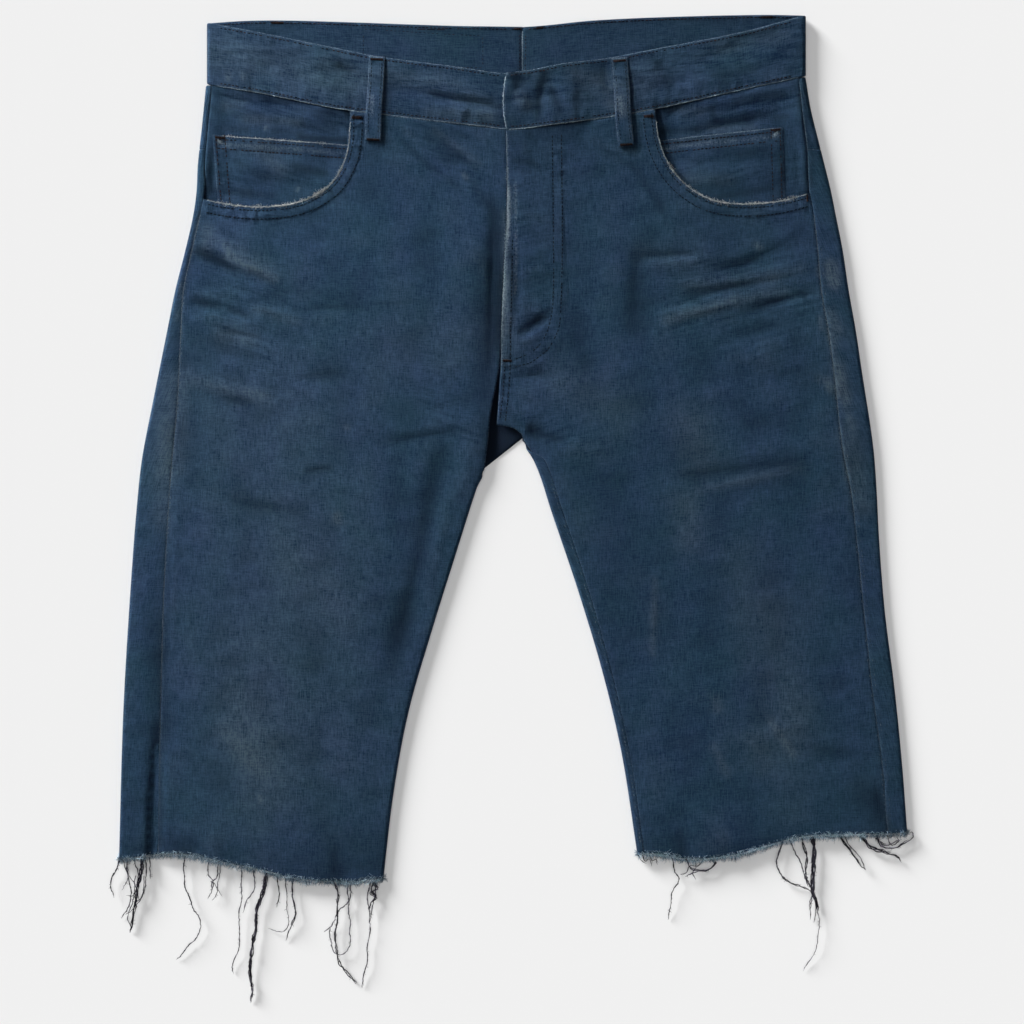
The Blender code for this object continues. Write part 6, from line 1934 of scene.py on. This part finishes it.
wornTones = {  # how far along an edge, and how pale its fibres are there
    "mouth": ((0.0, 0.12), (0.3, 0.25), (0.45, 0.6), (0.6, 0.85), (0.85, 0.75), (0.93, 0.3), (1.0, 0.12)),
    "fly": ((0.0, 0.5), (0.2, 0.35), (0.34, 0.85), (0.55, 0.5), (0.7, 0.8), (1.0, 0.15)),
    "seam": ((0.0, 0.7), (0.3, 0.55), (0.6, 0.4), (0.85, 0.15), (1.0, 0.05)),
    "coinRight": ((0.0, 0.6), (0.5, 0.7), (0.8, 0.3), (1.0, 0.15)),
    "coinLeft": ((0.0, 0.25), (0.4, 0.4), (0.8, 0.2), (1.0, 0.1)),
    "bandLow": ((0.0, 0.9), (0.3, 0.6), (0.6, 0.75), (1.0, 0.5)),
    "bandHigh": ((0.0, 0.55), (0.5, 0.3), (1.0, 0.25)),
    "bandEnd": ((0.0, 0.9), (0.4, 0.7), (0.8, 1.0), (1.0, 1.0)),
    "bandEndFace": ((0.0, 0.1), (0.6, 0.25), (1.0, 0.4)),
}
seamStitch = {"length": 1.7, "gap": 1.9, "width": 0.36}
denimTop, bandTop, coinTop = garment["denim"] / 2, waistband["wall"] / 2, frontPocket["coinCloth"] / 2
loopTop = beltLoops["wall"] / 2


def sewn(bag, name, side, thread):
    return dressed(bag.made(f"{name}_{side}", thread), [])


for side in sign:
    stitches, tacks, fibres, rubbed = Bag(), Bag(), Bag(), Bag()
    _, frontAt, hem = made["front", side]
    for k, row in enumerate(frontRowsOf[side]):
        sewRow(stitches, frontAt, row, denimTop, rng, paler=0.0 if k < 2 else 0.3)
    edgeRoll(fibres, frontAt, mouthLine[side][4:-1], denimTop - 0.26, rng, 0.5, wornTones["mouth"], 0.2)
    edgeFuzz(fibres, frontAt, mouthLine[side][20:-5], denimTop - 0.1, rng, 6.0, outward=1.4, swirl=0.7)
    if side == "right":
        bend = mouthLine[side][(mouthLine[side][:, 0] > 134.0) & (mouthLine[side][:, 0] < 145.0)]
        edgeFuzz(fibres, frontAt, bend, denimTop, rng, 9.0, length=(1.2, 3.2), outward=3.0)
    start = np.array(frontPanel["mouth"][side][0])
    barTack(tacks, frontAt, start - (1.0, 4.5), start - (8.0, 5.0), denimTop, rng)
    if side == "left":
        barTack(tacks, frontAt, (-6.6, 109.0), (-0.3, 108.7), denimTop, rng, 1.6)
        barTack(tacks, frontAt, (212.4, 228.4), (212.8, 223.4), denimTop, rng, 1.3)
        edge = column(flyEdgeAt[side], 272.0, 118.0, 3.0)
        edgeRoll(rubbed, frontAt, edge, denimTop - 0.34, rng, 0.3, wornTones["fly"])
        edgeFuzz(rubbed, frontAt, edge[8:36], denimTop - 0.14, rng, 4.5, length=(0.7, 2.0), outward=3.0)
    frontStitches = sewn(stitches, "frontStitches", side, topstitchThread)
    _, backAt, backHem, backRow = made["back", side]
    backStitches = Bag()
    for row in backRow:
        sewRow(backStitches, backAt, row, denimTop, rng, width=0.42, missing=0.4, paler=0.3)
    seamGround = column(sideSeamAt[side], 214.0, -226.0, 4.0)
    edgeRoll(backStitches, frontAt, seamGround, denimTop - 0.3, rng, 0.4, wornTones["seam"], 0.16)
    besideSeam = lambda y: sideSeamAt[side](y) - 1.1
    seamEdge = column(besideSeam, 166.0, -40.0, 5.0)
    sewRow(backStitches, frontAt, seamEdge, denimTop, rng, missing=0.4, **seamStitch)
    if side == "left":
        seamEdge = column(besideSeam, -44.0, -222.0, 5.0)
        sewRow(backStitches, frontAt, seamEdge, denimTop, rng, missing=0.5, **seamStitch)
        lipEdge = column(lambda y: outerLip(side)(y) - 2.4, 205.0, -222.0, 5.0)
        sewRow(backStitches, backAt, lipEdge, denimTop, rng, missing=0.55, **seamStitch)
    outseamStitches = sewn(backStitches, "outseamStitches", side, seamThread)

    _, _, coinAt, coinRow = made["pocket", side]
    coinStitches, coinCorners = Bag(), frontPocket["coinCorners"][side]
    for row, paleness in zip(coinRow, (0.1, 0.3, 0.6, 0.6)):
        sewRow(coinStitches, coinAt, row, coinTop, rng, paler=paleness, missing=0.1)
    corner = np.array(coinCorners[0])
    barTack(tacks, coinAt, corner + (-1.6, -1.5), corner + (-8.4, -2.0), coinTop, rng, 1.4)
    coinEdge = lineThrough(coinCorners[:2], 2.0)
    if side == "right":
        edgeRoll(fibres, coinAt, coinEdge[3:-2], 0.05, rng, 0.32, wornTones["coinRight"])
        edgeFuzz(fibres, coinAt, coinEdge[4:-12], 0.2, rng, 3.0, length=(0.8, 2.0), outward=0.9)
    else:
        edgeRoll(rubbed, coinAt, coinEdge[3:-2], 0.0, rng, 0.28, wornTones["coinLeft"])
    coinSewing = sewn(coinStitches, "coinStitches", side, bandThread)

    _, bandAt, bandRow, overRun, backStart, whole = made["band", side]
    bandStitches, inner = Bag(), -bandTop
    for row in bandRow:
        sewRow(bandStitches, bandAt, row, bandTop, rng)
    bottomEdge = lineAt(0.35, 2.0, overRun - 1.0, 4.0)
    upperEdge = lineAt(waistband["height"] - 0.45, 2.0, overRun - 1.0, 4.0)
    upperEdge = upperEdge[upperEdge[:, 0] > -waistband["firstEnd"][side]]
    if side == "right":
        bottomEdge = bottomEdge[bottomEdge[:, 0] > 36.0]
    edgeRoll(rubbed, bandAt, bottomEdge, bandTop - 0.35, rng, 0.3, wornTones["bandLow"])
    edgeRoll(rubbed, bandAt, upperEdge, bandTop - 0.35, rng, 0.24, wornTones["bandHigh"])
    if side == "left":
        endLine = lineAt(0.25, 1.0, 42.0, 3.0)[:, ::-1]
        edgeRoll(rubbed, bandAt, endLine, bandTop - 0.3, rng, 0.4, wornTones["bandEnd"])
        endFace = lineAt(whole - 0.05, 1.0, 42.6, 3.0)[:, ::-1]
        edgeRoll(rubbed, bandAt, endFace, -0.8, rng, 0.62, wornTones["bandEndFace"], 0.08)
    backTack = whole - (1.0 if side == "right" else 10.0)
    barTack(tacks, bandAt, (backTack - 5.0, 41.4), (backTack, 41.4), inner, rng, 1.5)
    turnsAt = backStart + waistband["edge"][side] - waistband["foldInset"]
    loopAway = turnsAt - abs(beltLoops["backTops"][side][0])
    barTack(tacks, bandAt, (loopAway - 4.5, 41.2), (loopAway + 4.5, 41.2), inner, rng, 1.6)
    if side == "right":
        w = np.arange(44.0, 75.0, 4.0)[::-1]
        threadLine = np.stack([backStart + 216.5 - w, 41.0 - 0.02 * w], axis=1)
        sewRow(bandStitches, bandAt, threadLine, inner, rng, length=7.0, gap=0.2, width=0.8, missing=0.0)
    endRow = lineAt(whole - 2.2, 3.0, 41.0, 3.0)[:, ::-1]
    sewRow(bandStitches, bandAt, endRow, inner, rng, length=1.4, gap=1.2, width=0.5, missing=0.2)
    if side == "right":
        boxFrom, boxTo, boxLow, boxHigh = waistband["insideBox"]
        s1, s2 = turnsAt - boxFrom, turnsAt - boxTo
        corners = [(s1, boxHigh - 1.5), (s2, boxHigh - 4.0), (s2, boxLow), (s1, boxLow), (s1, boxHigh - 1.5)]
        for a, b in zip(corners, corners[1:]):
            sewRow(bandStitches, bandAt, np.array([a, b]), inner, rng, length=1.9, gap=1.1, width=0.42)
    sewRow(bandStitches, bandAt, lineAt(waistband["height"] - 2.0, backStart + 6.0, whole - 2.0, 6.0), inner, rng)
    bandSewing = sewn(bandStitches, "bandStitches", side, bandThread)

    _, loopAt, loopRow, length = made["loop", side]
    loopStitches = Bag()
    for row in loopRow:
        sewRow(loopStitches, loopAt, row, loopTop, rng, length=2.0, gap=0.8, width=0.5)
    loopSewing = sewn(loopStitches, "loopStitches", side, topstitchThread)
    for s in (2.2, length - 2.2):
        barTack(tacks, loopAt, (s, 1.4), (s, 10.2), loopTop, rng, 1.5)
    tackPiece = sewn(tacks, "barTacks", side, tackThread)
    fibrePiece = sewn(fibres, "wornEdges", side, edgeFibre)
    made["rubbed", side] = sewn(rubbed, "rubbedEdges", side, rubbedFibre)
    made["fray", side] = makeHem(side, 1, frontAt, hem, 11), makeHem(side, -1, backAt, backHem, 23)
    made["sewing", side] = (
        frontStitches, outseamStitches, coinSewing, bandSewing, loopSewing, tackPiece, fibrePiece,
    )
    print(f"stitches, worn edges and frayed hems {side} made")

# Each side's sewn pieces and the band's whole length, unpacked again
for side in sign:
    (
        frontStitches, outseamStitches, coinSewing, bandSewing, loopSewing, tackPiece, fibrePiece,
    ) = made["sewing", side]
    whole, under = made["band", side][-1], [f"back_panel_{side}"]

# Floor, light and camera

studio = {
    "floor": shade(0.80, 0.80, 0.80),
    "world": 0.16,
    "keyStrength": 5.85,
    "keyAngle": 20.0,  # degrees across, for a soft edge to the shadow
    "keyElevation": 17.0,
    "keyWay": (0.70, -0.714),
    "floorFill": 1.21,  # from above, on the floor alone
    "sideLamp": 9.0,  # from the upper left, on the garment alone
    "sideLampAt": (-0.78, 0.62, 0.36),
    "sideLampSize": 0.35,
    "rimLamp": 0.3,  # from the lower right, weak, on the garment alone
    "rimLampWay": (-0.90, 0.36, -0.24),
    "focal": 120.0,
    "sensor": 36.0,
    "height": 2.4576,
    "focusLevel": 0.005,
}


def plainFloor():
    size = 4.0
    mesh = bpy.data.meshes.new("floor")
    corners = [(-size, -size, 0), (size, -size, 0), (size, size, 0), (-size, size, 0)]
    mesh.from_pydata(corners, [], [(0, 1, 2, 3)])
    floor = bpy.data.objects.new("floor", mesh)
    bpy.context.scene.collection.objects.link(floor)
    finish, tree, shader = newFinish("studioFloor", 1.0, 0.0)
    place = addNode(tree, "ShaderNodeTexCoord").outputs["Object"]
    noise = addNode(tree, "ShaderNodeTexNoise", {"Vector": place, "Scale": 900.0, "Detail": 2.0}).outputs[0]
    base = studio["floor"]
    lighter = shade(*(c * 1.004 for c in base[:3]))
    tree.links.new(mixed(tree, noise, base, lighter), shader.inputs["Base Color"])
    mesh.materials.append(finish)
    return floor


def lamp(name, kind, receivers, **settings):
    light = bpy.data.lights.new(name, kind)
    for key, value in settings.items():
        setattr(light, key, value)
    lampObject = bpy.data.objects.new(name, light)
    bpy.context.scene.collection.objects.link(lampObject)
    if receivers:
        group = bpy.data.collections.new(f"{name}Receivers")
        for piece in receivers:
            group.objects.link(piece)
        lampObject.light_linking.receiver_collection = group
    return lampObject


def pointAt(lampObject, way):
    lampObject.rotation_euler = way.to_track_quat("-Z", "Y").to_euler()


def studioLight(floor, garmentPieces):
    scene = bpy.context.scene
    world = bpy.data.worlds.new("studio")
    scene.world = world
    world.use_nodes = True
    background = world.node_tree.nodes["Background"]
    background.inputs["Color"].default_value = shade(1.0, 1.0, 1.0)
    background.inputs["Strength"].default_value = studio["world"]
    key = lamp("key", "SUN", None, energy=studio["keyStrength"], angle=math.radians(studio["keyAngle"]))
    level, (wayX, wayY) = math.radians(studio["keyElevation"]), studio["keyWay"]
    pointAt(key, Vector((wayX * math.cos(level), wayY * math.cos(level), -math.sin(level))))
    fill = lamp("fill", "SUN", [floor], energy=studio["floorFill"], angle=math.radians(40.0))
    pointAt(fill, Vector((0.0, 0.0, -1.0)))
    size, at = studio["sideLampSize"], Vector(studio["sideLampAt"])
    side = lamp("side", "AREA", garmentPieces, energy=studio["sideLamp"], size=size)
    side.location = at
    pointAt(side, -at)
    rim = lamp("rim", "SUN", garmentPieces, energy=studio["rimLamp"], angle=math.radians(60.0))
    pointAt(rim, Vector(studio["rimLampWay"]))


def placeCamera():
    scene = bpy.context.scene
    camera = bpy.data.cameras.new("camera")
    camera.lens, camera.sensor_width = studio["focal"], studio["sensor"]
    cameraObject = bpy.data.objects.new("camera", camera)
    cameraObject.location = (0.0, 0.0, studio["height"] + studio["focusLevel"])
    scene.collection.objects.link(cameraObject)
    scene.camera = cameraObject
    scene.view_settings.view_transform = "Standard"


garmentPieces = [o for o in bpy.data.objects if o.type == "MESH" and len(o.data.vertices)]
studioLight(plainFloor(), garmentPieces)
placeCamera()
print("floor, light and camera placed")
